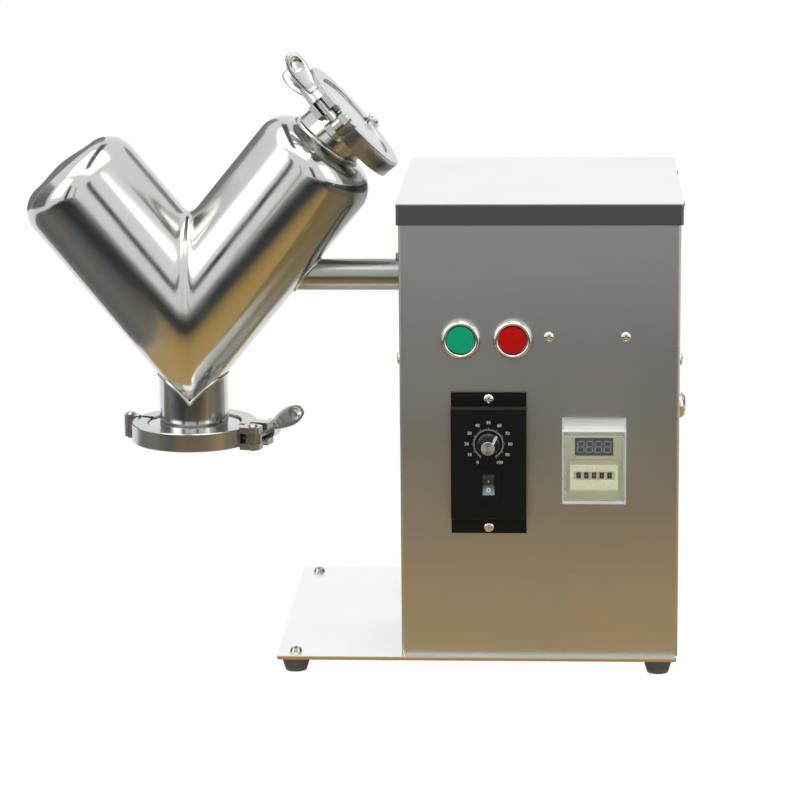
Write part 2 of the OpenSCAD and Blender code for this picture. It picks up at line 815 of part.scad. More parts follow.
module drive_belt() {
    color("#1f2123") place() translate([pulley_x + (pulley_w - belt_w) / 2, shaft_y, out_z])
        rotate([90, 0, 90]) linear_extrude(height = belt_w) difference() {
            belt_outline(fit_gap + belt_t);
            belt_outline(fit_gap);
        }
}

boss_r = 14;
boss_len = 6;
inner_boss_r = 6.5;

module gearhead_case() {
    half = motor_half;
    color("#7f8689") {
        at_motor() difference() {
            translate([-half, -half, gear_x]) cube([gear_case, gear_case, gear_plate]);
            translate([-out_offset, 0, gear_x - cut]) cylinder(r = out_r + run_gap, h = gear_plate + 2 * cut);
            translate([-cluster_dz, cluster_dy, gear_x + cut]) cylinder(r = axle_r + run_gap, h = gear_plate);
            for (y = [-1, 1], z = [-1, 1]) translate([y * mount_bolt, z * mount_bolt, gear_x - cut])
                cylinder(r = m5_r + hole_gap, h = gear_plate + cut - gear_wall / 2 + hole_gap);
        }
        at_output() translate([0, 0, gear_x - boss_len]) ring(boss_r, out_r + run_gap, boss_len);
        at_motor() difference() {
            union() {
                difference() {
                    translate([-half, -half, gear_x + gear_plate])
                        cube([gear_case, gear_case, gear_len - gear_plate]);
                    translate([gear_wall - half, gear_wall - half, gear_x + gear_plate - cut])
                        cube([gear_case - 2 * gear_wall, gear_case - 2 * gear_wall,
                            gear_len - 2 * gear_plate + cut]);
                }
                translate([-out_offset, 0, slow_x + slow_w + fit_gap + side_gap])
                    cylinder(r = inner_boss_r, h = motor_x - slow_x - slow_w - 2 * side_gap);
            }
            translate([-out_offset, 0, gear_x]) cylinder(r = motor_shaft_r + run_gap, h = gear_len - cut);
            translate([0, 0, motor_x - gear_plate - cut])
                cylinder(r = motor_shaft_r + side_gap, h = gear_plate + 2 * cut);
            translate([-cluster_dz, cluster_dy, motor_x - gear_plate - cut])
                cylinder(r = axle_r + run_gap, h = gear_plate);
        }
    }
}

module output_gear() {
    color("#a2a6a8") at_output() {
        translate([0, 0, slow_x]) rotate([0, 0, slow_mesh]) linear_extrude(height = slow_w)
            gear_outline(slow_module, wheel_teeth, 0.7);
        translate([0, 0, pulley_x - side_gap])
            cylinder(r = out_r, h = slow_x + slow_w / 2 - pulley_x + side_gap);
        translate([0, 0, slow_x + slow_w / 2])
            cylinder(r = motor_shaft_r, h = motor_x - slow_x - slow_w / 2 - wheel_gap);
    }
}

// Directions of the two meshes, seen along the shaft, and the phases that fit the teeth
slow_dir = atan2(cluster_dy, -(cluster_dz - out_offset));
fast_dir = atan2(cluster_dy, -cluster_dz);
slow_mesh = slow_dir;
cluster_phase = slow_dir + 180 + 180 / pinion_teeth;
wheel_phase = fast_dir + 180 + 180 / wheel_teeth;
fast_phase = fast_dir;

module cluster_gear() {
    color("#a2a6a8") at_cluster() {
        translate([0, 0, slow_x - fit_gap]) rotate([0, 0, cluster_phase])
            linear_extrude(height = slow_w + 2 * fit_gap) gear_outline(slow_module, pinion_teeth, 0.9);
        translate([0, 0, fast_x]) rotate([0, 0, wheel_phase]) linear_extrude(height = fast_w)
            gear_outline(fast_module, wheel_teeth, 0.7);
        translate([0, 0, gear_x + 2 * cut]) cylinder(r = axle_r, h = gear_len - 4 * cut);
    }
}

core_gap = 14;
fan_w = 5;
fan_r = 32;

module motor_rotor() {
    core_x = motor_x + core_gap;
    core_len = motor_len - 2 * core_gap - 4 * fan_w;
    fan_x = motor_x + motor_len - 2.2 * fan_w;
    color("#a7abad") at_motor() {
        translate([0, 0, fast_x - side_gap]) rotate([0, 0, fast_phase])
            linear_extrude(height = fast_w + 2 * side_gap) gear_outline(fast_module, pinion_teeth, 0.9);
        translate([0, 0, fast_x + fast_w + side_gap])
            cylinder(r = motor_shaft_r, h = fan_x + fan_w - fast_x - fast_w - side_gap);
        translate([0, 0, core_x]) cylinder(r = rotor_r, h = core_len);
        translate([0, 0, fan_x]) cylinder(r = rotor_r / 2, h = fan_w);
        for (a = [0:60:300]) rotate([0, 0, a]) translate([0, -wing_t / 4, fan_x])
            cube([fan_r, wing_t / 2, fan_w]);
    }
}

module motor_housing() {
    end_x = motor_x + motor_len;
    rear_x = end_x - 3.6 * fan_w;
    color("#3c4145") at_motor() {
        translate([0, 0, motor_x]) ring(motor_r, motor_shaft_r + run_gap, bell_t);
        translate([0, 0, motor_x + bell_t]) ring(motor_r, stator_r, motor_len - bell_t - sheet);
        translate([0, 0, rear_x]) difference() {
            ring(stator_r, motor_shaft_r + run_gap, bell_t);
            for (a = [0:45:315]) rotate([0, 0, a]) translate([0.7 * stator_r, 0, -cut])
                cylinder(r = stator_r / 8, h = bell_t + 2 * cut);
        }
        translate([0, 0, end_x - sheet]) difference() {
            cylinder(r = motor_r, h = sheet);
            for (a = [0:30:330], r = [0.4, 0.7]) rotate([0, 0, a]) translate([r * motor_r, 0, -cut])
                cylinder(r = motor_r * 0.07, h = sheet + 2 * cut);
        }
    }
}

slot_count = 12;

module stator() {
    core_x = motor_x + core_gap;
    core_len = motor_len - 2 * core_gap - 4 * fan_w;
    slot_r = (stator_r + stator_in) / 2;
    color("#6a4a32") at_motor() {
        translate([0, 0, core_x]) difference() {
            ring(stator_r, stator_in, core_len);
            for (i = [0:slot_count - 1]) rotate([0, 0, i * 360 / slot_count])
                translate([slot_r, 0, -cut]) cylinder(r = wing_t, h = core_len + 2 * cut);
        }
        for (x = [core_x - core_gap / 3, core_x + core_len]) translate([0, 0, x])
            ring(slot_r + wing_t, slot_r - wing_t, core_gap / 3);
    }
}

module capacitor() {
    color("#d8dad6") place() translate([cab_w - 2 * capacitor_r, 3 * capacitor_r, plate_z]) {
        cylinder(r = capacitor_r, h = capacitor_h);
        for (side = [-1, 1]) translate([side * capacitor_r / 3, 0, capacitor_h])
            cylinder(r = m5_r / 2, h = 3 * m5_r);
        translate([0, 0, capacitor_h / 3]) ring(capacitor_r + sheet, capacitor_r, capacitor_h / 4);
    }
}

ctrl_back_z = plate_z + ctrl_z + ctrl_lower + ctrl_wall;
ctrl_back_h = ctrl_h - ctrl_lower - ctrl_upper - 2 * ctrl_wall;
ctrl_screw_zs = [plate_z + ctrl_z + (ctrl_lower - ctrl_wall) / 2, plate_z + ctrl_z + ctrl_h - ctrl_screw_in];

// Case of the speed controller behind the panel, with its switch housing and potentiometer
module controller_case() {
    color("#1b1c1e") {
        place() difference() {
            translate([ctrl_mid_x - ctrl_back_w / 2, 0, ctrl_back_z])
                cube([ctrl_back_w, ctrl_depth, ctrl_back_h]);
            translate([ctrl_mid_x - ctrl_back_w / 2 + ctrl_wall, -cut, ctrl_back_z + ctrl_wall])
                cube([ctrl_back_w - 2 * ctrl_wall, ctrl_depth - ctrl_wall + cut,
                    ctrl_back_h - 2 * ctrl_wall]);
        }
        on_front(knob_x, knob_z) translate([0, 0, ctrl_front - ctrl_wall - pot_len])
            ring(pot_r, knob_shaft_r + run_gap, pot_len);
        place() difference() {
            union() {
                translate([ctrl_mid_x - bezel_w / 2, -ctrl_front - bezel_t, rocker_z - bezel_h / 2])
                    cube([bezel_w, bezel_t, bezel_h]);
                translate([ctrl_mid_x - switch_w / 2, -ctrl_front, rocker_z - switch_h / 2])
                    cube([switch_w, ctrl_front + pot_len, switch_h]);
            }
            translate([ctrl_mid_x, rocker_y, rocker_z]) rotate([0, 90, 0])
                cylinder(r = rocker_r + move_gap, h = rocker_w + 2 * move_gap, center = true);
        }
    }
}

pot_r = 8;
pot_len = 9;
switch_w = 14;
switch_h = 23;

module controller_face() {
    raise_z = ctrl_z + ctrl_lower;
    raise_h = ctrl_h - ctrl_lower - ctrl_upper;
    bevel = ctrl_wall;
    color("#141517") place() difference() {
        union() {
            translate([ctrl_x, -ctrl_flange, plate_z + ctrl_z]) cube([ctrl_w, ctrl_flange, ctrl_h]);
            translate([ctrl_x, 0, plate_z + raise_z]) rotate([90, 0, 90]) linear_extrude(height = ctrl_w)
                polygon([[-ctrl_flange, 0], [-ctrl_front + bevel, 0], [-ctrl_front, bevel],
                    [-ctrl_front, raise_h - bevel], [-ctrl_front + bevel, raise_h], [-ctrl_flange, raise_h]]);
        }
        translate([ctrl_x + ctrl_wall, -ctrl_front + ctrl_wall, plate_z + raise_z + ctrl_wall])
            cube([ctrl_w - 2 * ctrl_wall, ctrl_front, raise_h - 2 * ctrl_wall]);
        translate([knob_x, 0, knob_z]) rotate([90, 0, 0])
            cylinder(r = knob_shaft_r + hole_gap, h = ctrl_front + cut);
        translate([ctrl_mid_x - switch_w / 2 - hole_gap, -ctrl_front - cut,
            rocker_z - switch_h / 2 - hole_gap])
            cube([switch_w + 2 * hole_gap, ctrl_front, switch_h + 2 * hole_gap]);
        for (z = ctrl_screw_zs) translate([ctrl_mid_x, cut, z]) rotate([90, 0, 0])
            cylinder(r = ctrl_screw_r + hole_gap, h = ctrl_flange + 2 * cut);
    }
}

// Knob with its pointer upwards before it is turned
module speed_knob() {
    color("#c8cac8") on_front(knob_x, knob_z) rotate([0, 0, -knob_turn]) {
        translate([0, 0, ctrl_front - ctrl_wall - pot_len])
            cylinder(r = knob_shaft_r, h = pot_len + ctrl_wall + knob_gap);
        translate([0, 0, ctrl_front + knob_gap]) cylinder(r = skirt_r, h = skirt_t);
        translate([0, 0, ctrl_front + knob_gap + skirt_t]) {
            cylinder(r1 = grip_r + grip_taper, r2 = grip_r, h = grip_h);
            translate([-pointer_w / 2, grip_r, 0]) cube([pointer_w, skirt_r - grip_r, grip_taper]);
        }
    }
}

// Rocker with a hollow front, tipped to its rest stop
module rocker_switch() {
    front = -rocker_dip;
    color("#55595b") place() translate([ctrl_mid_x, rocker_y, rocker_z]) rotate([rocker_tilt, 0, 0])
        rotate([90, 0, 90]) intersection() {
            translate([0, 0, -rocker_w / 2]) cylinder(r = rocker_r, h = rocker_w);
            linear_extrude(height = 2 * rocker_w, center = true)
                polygon([[rocker_r, -rocker_r], [rocker_r, rocker_r], [-rocker_half * 0.8, rocker_r],
                    [-rocker_half * 0.8, rocker_half], [front, 0], [-rocker_half * 0.8, -rocker_half],
                    [-rocker_half * 0.8, -rocker_r]]);
        }
}

timer_back_w = timer_w - 4 * cover_wall;
timer_face_h = timer_h - timer_drop - 3 * cover_wall;
timer_back_z = plate_z + timer_z + 2 * cover_wall;
timer_back_h = timer_face_h - cover_wall;
display_t = 4;

module timer_case() {
    left = timer_mid_x - timer_back_w / 2;
    color("#c9c4a8") {
        place() difference() {
            union() {
                translate([left, -face_y, timer_back_z])
                    cube([timer_back_w, face_y + timer_depth, timer_back_h]);
                translate([timer_mid_x - block_w / 2, -face_y - block_t, block_z])
                    cube([block_w, block_t + cut, block_h]);
            }
            translate([timer_mid_x - display_w / 2 - hole_gap, -face_y - cut,
                display_z - display_h / 2 - hole_gap])
                cube([display_w + 2 * hole_gap, display_t + cut, display_h + 2 * hole_gap]);
            for (i = [-2:2]) translate([timer_mid_x + i * wheel_pitch, 0, wheel_z]) {
                translate([-wheel_w / 2 - fit_gap, wheel_y, 0]) rotate([0, 90, 0])
                    cylinder(r = wheel_r + move_gap, h = wheel_w + 2 * fit_gap);
                translate([-window_w / 2, -face_y - block_t - cut, window_up - window_h / 2])
                    cube([window_w, block_t + 2 * cut, window_h]);
            }
            translate([timer_mid_x, wheel_y, wheel_z]) rotate([0, 90, 0])
                cylinder(r = wheel_axle_r, h = block_w - 2 * cut, center = true);
        }
        place() translate([timer_mid_x, wheel_y, wheel_z]) rotate([0, 90, 0])
            cylinder(r = wheel_axle_r, h = block_w - 2 * cut, center = true);
    }
}

module digit_wheel(i) {
    place() translate([timer_mid_x + i * wheel_pitch, wheel_y, wheel_z]) rotate([0, 90, 0])
        difference() {
            rotate([0, 0, 18]) cylinder(r = wheel_r, h = wheel_w, center = true, $fn = 10);
            cylinder(r = wheel_axle_r + run_gap, h = wheel_w + 2 * cut, center = true);
        }
}

module digit_wheel_1() { color("#34363a") digit_wheel(-2); }
module digit_wheel_2() { color("#34363a") digit_wheel(-1); }
module digit_wheel_3() { color("#a4552f") digit_wheel(0); }
module digit_wheel_4() { color("#34363a") digit_wheel(1); }
module digit_wheel_5() { color("#34363a") digit_wheel(2); }

module timer_display() {
    color("#2b2d2e") place() translate([timer_mid_x - display_w / 2, -face_y, display_z - display_h / 2])
        cube([display_w, display_t, display_h]);
}

// Bend of the cover's top edge, as shares of its reach and drop
cover_reach_shares = [0.12, 0.4, 0.75];
cover_drop_shares = [0.6, 0.22, 0.04];

// Side outline of the clear cover, y to the rear and z up, at a distance inside its outer face
module cover_outline(inset) {
    top = timer_h - inset;
    front = -timer_reach + inset;
    polygon([[cut * sign(inset), inset], [front, inset], [front, top - timer_drop],
        [front + cover_reach_shares[0] * timer_reach, top - cover_drop_shares[0] * timer_drop],
        [front + cover_reach_shares[1] * timer_reach, top - cover_drop_shares[1] * timer_drop],
        [front + cover_reach_shares[2] * timer_reach, top - cover_drop_shares[2] * timer_drop],
        [cut * sign(inset), top]]);
}

module timer_cover() {
    color([0.85, 0.88, 0.86, 0.5]) place() translate([timer_x, 0, plate_z + timer_z]) rotate([90, 0, 90])
        difference() {
            linear_extrude(height = timer_w) cover_outline(0);
            translate([0, 0, cover_wall]) linear_extrude(height = timer_w - 2 * cover_wall)
                cover_outline(cover_wall);
        }
}

button_xs = [start_x, start_x + button_gap];

// Bezel with its barrel through the panel and the nut behind it
module button_bezels() {
    color("#cfd2d3") for (x = button_xs) on_front(x, plate_z + button_z) {
        difference() {
            union() {
                cylinder(r = bezel_r, h = bezel_depth / 3);
                cylinder(r1 = bezel_r, r2 = bezel_r - bezel_taper, h = bezel_depth);
                translate([0, 0, -barrel_len]) cylinder(r = barrel_r, h = barrel_len + cut);
            }
            translate([0, 0, bezel_floor]) cylinder(r = cap_r + move_gap, h = bezel_depth);
            translate([0, 0, -barrel_len + barrel_floor])
                cylinder(r = barrel_r - barrel_wall, h = barrel_len + bezel_depth);
            translate([0, 0, -barrel_len - cut]) cylinder(r = stem_r + run_gap, h = barrel_len);
        }
        translate([0, 0, -sheet - barrel_floor]) ring(barrel_r + ring_nut_w, barrel_r, barrel_floor);
    }
}

// Cap with its stem, crowned a little at the front
module push_cap() {
    low = bezel_floor + button_travel + cap_gap;
    difference() {
        union() {
            translate([0, 0, low]) cylinder(r = cap_r, h = bezel_depth + cap_out - cap_bevel - low);
            translate([0, 0, bezel_depth + cap_out - cap_bevel])
                cylinder(r1 = cap_r, r2 = cap_r - 1.5 * cap_bevel, h = cap_bevel);
            translate([0, 0, -barrel_len / 4])
                cylinder(r = barrel_r - barrel_wall - guide_gap, h = barrel_len / 4 + bezel_depth);
            translate([0, 0, -barrel_len]) cylinder(r = stem_r, h = barrel_len);
        }
        translate([0, 0, -barrel_len / 4 - cut])
            ring(spring_r + 2 * spring_wire, stem_r + cut * 0.6, 2 * cut);
    }
}

module start_button() { color("#1f7a3f") on_front(button_xs[0], plate_z + button_z) push_cap(); }
module stop_button() { color("#b3262b") on_front(button_xs[1], plate_z + button_z) push_cap(); }

// Points of a coil, one ring of the wire's outline at each step
function coil_ring(r, wire, pitch, a, sides) = [for (k = [0:sides - 1])
    let (b = 360 * k / sides)
    [(r + wire * cos(b)) * cos(a), (r + wire * cos(b)) * sin(a), pitch * a / 360 + wire * sin(b)]];

module coil(r, wire, height, turns) {
    sides = 6;
    steps = turns * 16;
    pitch = (height - 2 * wire) / turns;
    points = [for (i = [0:steps]) each coil_ring(r, wire, pitch, 360 * turns * i / steps, sides)];
    walls = [for (i = [0:steps - 1], k = [0:sides - 1]) let (n = (k + 1) % sides)
        each [[i * sides + k, i * sides + n, (i + 1) * sides + n],
            [i * sides + k, (i + 1) * sides + n, (i + 1) * sides + k]]];
    first = [for (k = [1:sides - 2]) [0, k + 1, k]];
    last = [for (k = [1:sides - 2]) [steps * sides, steps * sides + k, steps * sides + k + 1]];
    translate([0, 0, wire]) polyhedron(points = points, faces = concat(walls, first, last));
}

module button_springs() {
    low = -barrel_len + 3;
    high = -barrel_len / 4 + cut;
    color("#a9adaf") for (x = button_xs) on_front(x, plate_z + button_z)
        translate([0, 0, low]) coil(spring_r, spring_wire, high - low, spring_turns);
}

module contact_blocks() {
    color("#2c4a3a") for (x = button_xs) on_front(x, plate_z + button_z)
        translate([0, 0, -barrel_len - block_len]) difference() {
            translate([-block_half, -block_half, 0]) cube([2 * block_half, 2 * block_half, block_len]);
            translate([0, 0, block_len - 2 * button_travel])
                cylinder(r = stem_r + fit_gap, h = 3 * button_travel);
        }
}

module cable_gland() {
    color("#c6c9ca") place() translate([cab_w, gland_y, plate_z + gland_z]) rotate([0, 90, 0]) {
        difference() {
            union() {
                cylinder(r = gland_hex_r, h = gland_hex_t, $fn = 6);
                translate([0, 0, -2 * gland_hex_t]) cylinder(r = gland_r, h = 2 * gland_hex_t + cut);
            }
            translate([0, 0, -2 * gland_hex_t - cut]) cylinder(r = gland_bore, h = 3 * gland_hex_t + 2 * cut);
        }
        translate([0, 0, gland_hex_t]) rotate_extrude() polygon(concat(
            [[gland_bore, 0], [gland_r + gland_brim, 0]],
            [for (a = [0:15:75]) [gland_bore + gland_lip + (gland_r + gland_lip / 2 - gland_bore) * cos(a),
                gland_dome * (0.3 + 0.7 * sin(a))]],
            [[gland_bore, gland_dome]]));
        translate([0, 0, -sheet - gland_hex_t]) difference() {
            cylinder(r = gland_hex_r, h = gland_hex_t, $fn = 6);
            translate([0, 0, -cut]) cylinder(r = gland_r, h = gland_hex_t + 2 * cut);
        }
    }
}

// Outline of an arm from its axis outwards: straight wall, round shoulder, shallow crown
function arm_points(len, inset) =
    let (k = knuckle_r - inset, r = arm_r - inset, l = len - inset)
    concat([[0, -2 * arm_r], [r, -2 * arm_r]],
        [for (a = [0:7.5:90]) [r - k + k * cos(a), l - k - crown + k * sin(a)]],
        [[(r - k) / 2, l - crown / 4], [0, l]]);

module arm_solid(len, inset) {
    rotate_extrude() intersection() {
        polygon(arm_points(len, inset));
        translate([0, -2 * arm_r]) square([arm_r, len + 3 * arm_r]);
    }
}

// Keeps the side of the mitre plane that an arm lies on
module mitre(side) {
    big = 2 * arm_right + 2 * arm_r;
    intersection() {
        children();
        translate([side > 0 ? 0 : -big, -big / 2, -big / 2]) cube([big, big, big]);
    }
}

module neck_hole(r, len) {
    translate([0, 0, -len]) cylinder(r = r, h = len);
}

module vessel_left_shell() {
    color("#d4d7d8") at_vessel() mitre(-1) difference() {
        rotate([0, -arm_angle, 0]) arm_solid(arm_left, 0);
        rotate([0, -arm_angle, 0]) arm_solid(arm_left, vessel_wall);
        neck_hole(bore_r, outlet_len);
    }
}

module vessel_right_shell() {
    color("#d4d7d8") difference() {
        at_vessel() mitre(1) difference() {
            rotate([0, arm_angle, 0]) arm_solid(arm_right, 0);
            rotate([0, arm_angle, 0]) arm_solid(arm_right, vessel_wall);
            neck_hole(bore_r, outlet_len);
        }
        at_inlet() cylinder(r = bore_r, h = 2 * inlet_neck_len);
    }
}

// Half outline of a neck with its clamp flange at the port
function neck_points(len) = [
    [bore_r, gasket_half], [flange_r, gasket_half], [flange_r, rim_half],
    [collar_r, rim_half + (flange_r - collar_r) * taper_t],
    [neck_r, rim_half + (flange_r - collar_r) * taper_t + fit_gap],
    [neck_r, len], [bore_r, len]];

module outlet_neck() {
    color("#cdd0d1") difference() {
        at_outlet() rotate_extrude() polygon(neck_points(outlet_len));
        at_vessel() for (side = [-1, 1]) mitre(side) rotate([0, side * arm_angle, 0])
            translate([0, 0, -2 * arm_r]) cylinder(r = arm_r, h = 4 * arm_r);
    }
}

module inlet_neck() {
    root = inlet_neck_len + arm_r * sin(port_tilt);
    color("#cdd0d1") difference() {
        at_inlet() rotate_extrude() polygon(concat(
            [for (p = neck_points(root)) if (p[1] < root) p],
            [[neck_r, root], [bore_r, root]]));
        at_vessel() rotate([0, arm_angle, 0]) arm_solid(arm_right, 0);
    }
    color("#cdd0d1") difference() {
        at_vessel() rotate([0, arm_angle, 0]) translate([0, 0, arm_right - crown])
            cylinder(r1 = neck_r + root_ring, r2 = neck_r, h = crown + root_ring);
        at_vessel() rotate([0, arm_angle, 0]) arm_solid(arm_right, 0);
        at_inlet() translate([0, 0, -cut]) cylinder(r = bore_r, h = root + 2 * root_ring);
    }
}

module port_gasket() {
    translate([0, 0, -gasket_half]) ring(flange_r - cut / 2, bore_r + fit_gap, gasket_t);
}

module port_gaskets() {
    color("#e9e6dc") {
        at_outlet() port_gasket();
        at_inlet() port_gasket();
    }
}

// Blind cap with a shallow dome
module port_cap() {
    slope = (flange_r - collar_r) * taper_t;
    rotate_extrude() polygon([
        [0, -gasket_half], [flange_r, -gasket_half], [flange_r, -rim_half],
        [collar_r, -rim_half - slope], [collar_r * 0.85, -rim_half - slope - fit_gap],
        [0, -rim_half - slope - 2 * fit_gap]]);
}

module outlet_cap() { color("#cdd0d1") at_outlet() port_cap(); }
module inlet_cap() { color("#cdd0d1") at_inlet() port_cap(); }

// Section of the clamp ring, radius outwards and z along the port
module clamp_section() {
    inner = rim_half + move_gap;
    tip = inner + (flange_r - lip_r) * taper_t;
    polygon([
        [clamp_r, -clamp_half + lip_edge], [clamp_r, clamp_half - lip_edge], [clamp_r - lip_edge, clamp_half],
        [lip_r + lip_edge, clamp_half], [lip_r, clamp_half - lip_edge], [lip_r, tip],
        [flange_r, inner], [groove_r, inner], [groove_r, -inner], [flange_r, -inner],
        [lip_r, -tip], [lip_r, -clamp_half + lip_edge], [lip_r + lip_edge, -clamp_half],
        [clamp_r - lip_edge, -clamp_half]]);
}

// Half of the clamp ring on the side of the y axis that is given
module clamp_arc(side) {
    big = 3 * clamp_r;
    intersection() {
        rotate_extrude() clamp_section();
        translate([-big / 2, side > 0 ? split / 2 : -split / 2 - big, -big / 2]) cube([big, big, big]);
    }
}

// Half with the fork and the two outer knuckles
module clamp_front() {
    difference() {
        union() {
            clamp_arc(-1);
            intersection() {
                translate([ring_in, -split / 2 - fork_len, -ear_half])
                    cube([ear_out - ring_in, fork_len, 2 * ear_half]);
                union() {
                    translate([ring_in, -split / 2 - fork_len, -ear_half])
                        cube([bolt_x - ring_in, fork_len, 2 * ear_half]);
                    translate([bolt_x, eye_y, -ear_half]) cylinder(r = fork_len / 2, h = 2 * ear_half);
                }
            }
            for (side = [-1, 1]) translate([0, 0, side * (knuckle_half + ear_half) / 2]) hinge_lug(-1,
                ear_half - knuckle_half - fit_gap);
        }
        translate([ring_in + fit_gap * 2, -split / 2 - fork_len - cut, -eye_half - fit_gap])
            cube([ear_out, fork_len + 2 * cut, 2 * eye_half + 2 * fit_gap]);
        translate([bolt_x, eye_y, -ear_half - cut]) cylinder(r = pin_r + run_gap, h = 2 * ear_half + 2 * cut);
        translate([-hinge_x, 0, -ear_half - cut]) cylinder(r = pin_r + run_gap, h = 2 * ear_half + 2 * cut);
    }
}

// Knuckle with its arm to the ring, centred on its own height
module hinge_lug(side, h) {
    translate([-hinge_x, 0, -h / 2]) cylinder(r = knuckle_out, h = h);
    translate([-hinge_x, side > 0 ? 0 : -knuckle_out, -h / 2])
        cube([hinge_x - clamp_r + split / 2, knuckle_out, h]);
}

// Half with the slotted ear and the middle knuckle
module clamp_rear() {
    difference() {
        union() {
            clamp_arc(1);
            translate([ring_in, split / 2, -ear_half]) cube([ear_out - ring_in, ear_len, 2 * ear_half]);
            hinge_lug(1, 2 * knuckle_half);
        }
        translate([bolt_x - bolt_r - 2 * fit_gap, split / 2 - cut, -bolt_r - move_gap])
            cube([ear_out, ear_len + 2 * cut, 2 * bolt_r + 2 * move_gap]);
        translate([-hinge_x, 0, -ear_half - cut]) cylinder(r = pin_r + run_gap, h = 2 * ear_half + 2 * cut);
    }
}

module outlet_clamp_front() { color("#85898b") at_outlet_clamp() clamp_front(); }
module inlet_clamp_front() { color("#85898b") at_inlet_clamp() clamp_front(); }
module outlet_clamp_rear() { color("#85898b") at_outlet_clamp() clamp_rear(); }
module inlet_clamp_rear() { color("#85898b") at_inlet_clamp() clamp_rear(); }

// Pin with a low head at each end
module clamp_pin() {
    translate([0, 0, -ear_half - pin_head / 2]) cylinder(r = pin_r, h = 2 * ear_half + pin_head);
    for (side = [0, 1]) mirror([0, 0, side]) translate([0, 0, ear_half])
        cylinder(r1 = pin_r + pin_brim, r2 = pin_r, h = pin_head);
}

module clamp_pin_pair() {
    translate([-hinge_x, 0, 0]) clamp_pin();
    translate([bolt_x, eye_y, 0]) clamp_pin();
}

module clamp_pins() {
    color("#b9bcbd") {
        at_outlet_clamp() clamp_pin_pair();
        at_inlet_clamp() clamp_pin_pair();
    }
}

thread_depth = 0.35;
thread_pitch = 2.5;

// Swing bolt: an eye on the fork's pin and a threaded shank along the y axis
module swing_bolt() {
    tip_y = nut_y + nut_h + nut_travel;
    translate([bolt_x, 0, 0]) difference() {
        union() {
            translate([0, eye_y, -eye_half]) cylinder(r = eye_r, h = 2 * eye_half);
            translate([0, eye_y, 0]) rotate([-90, 0, 0]) cylinder(r = bolt_r, h = tip_y - eye_y);
        }
        translate([0, eye_y, -eye_half - cut]) cylinder(r = pin_r + run_gap, h = 2 * eye_half + 2 * cut);
        for (y = [nut_y + nut_h + thread_pitch : thread_pitch : tip_y - thread_pitch / 2])
            translate([0, y, 0]) rotate([-90, 0, 0]) rotate_extrude() translate([bolt_r, 0])
                circle(r = thread_depth);
    }
}

module outlet_bolt() { color("#a5a9ab") at_outlet_clamp() swing_bolt(); }
module inlet_bolt() { color("#a5a9ab") at_inlet_clamp() swing_bolt(); }

// Middle line of a wing, radius outwards and height above the nut's foot
wing_radius_shares = [0.24, 0.4, 0.6, 0.72, 1];
wing_rise_shares = [0.26, 0.4, 0.6, 0.82, 1];

module wing_band() {
    line = [for (i = [0:4]) [wing_reach * wing_radius_shares[i], wing_rise * wing_rise_shares[i]]];
    polygon(concat([for (p = line) p + [wing_t / 2, -wing_t / 2]],
        [for (i = [4:-1:0]) line[i] + [-wing_t / 2, wing_t / 2]]));
}

// Wing: the bent band with a rounded tip
module nut_wing() {
    tip = wing_w / 2;
    rotate([90, 0, 0]) intersection() {
        linear_extrude(height = wing_w, center = true) wing_band();
        rotate([-90, 0, 0]) translate([0, 0, -wing_rise - wing_t]) union() {
            translate([0, -tip, 0]) cube([wing_reach + wing_t / 2 - tip, wing_w, 2 * wing_rise]);
            translate([wing_reach + wing_t / 2 - tip, 0, 0]) cylinder(r = tip, h = 2 * wing_rise);
        }
    }
}

module wing_nut(turn) {
    translate([bolt_x, nut_y, 0]) rotate([-90, 0, 0]) rotate([0, 0, turn]) difference() {
        union() {
            cylinder(r1 = nut_r, r2 = hub_r, h = nut_h / 4);
            cylinder(r = hub_r, h = nut_h);
            for (a = [0, 180]) rotate([0, 0, a]) nut_wing();
        }
        translate([0, 0, -cut]) cylinder(r = bolt_r + run_gap, h = wing_rise + nut_h);
    }
}

module outlet_wing_nut() { color("#7c8082") at_outlet_clamp() wing_nut(outlet_nut_turn); }
module inlet_wing_nut() { color("#7c8082") at_inlet_clamp() wing_nut(inlet_nut_turn); }

base_plate();
rubber_feet();
foot_screws();
cabinet_shell();
rear_panel();
top_cover();
pan_head_screws();
hex_bolts();
drive_frame();
bearing_housing();
bearing_outer_rings();
gearhead_case();
motor_housing();
stator();
capacitor();
controller_case();
controller_face();
timer_case();
timer_cover();
timer_display();
button_bezels();
contact_blocks();
cable_gland();
drive_belt();
drive_shaft();
bearing_inner_rings();
bearing_balls();
driven_pulley();
vessel_left_shell();
vessel_right_shell();
outlet_neck();
inlet_neck();
hub_tube();
hub_screw();
port_gaskets();
outlet_cap();
inlet_cap();
outlet_clamp_front();
inlet_clamp_front();
outlet_clamp_rear();
inlet_clamp_rear();
clamp_pins();
outlet_bolt();
inlet_bolt();
outlet_wing_nut();
inlet_wing_nut();
motor_rotor();
cluster_gear();
output_gear();
driving_pulley();
start_button();
stop_button();
button_springs();
speed_knob();
rocker_switch();
digit_wheel_1();
digit_wheel_2();
digit_wheel_3();
digit_wheel_4();
digit_wheel_5();
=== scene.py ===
import math

import bmesh
import bpy
from mathutils import Matrix, Vector


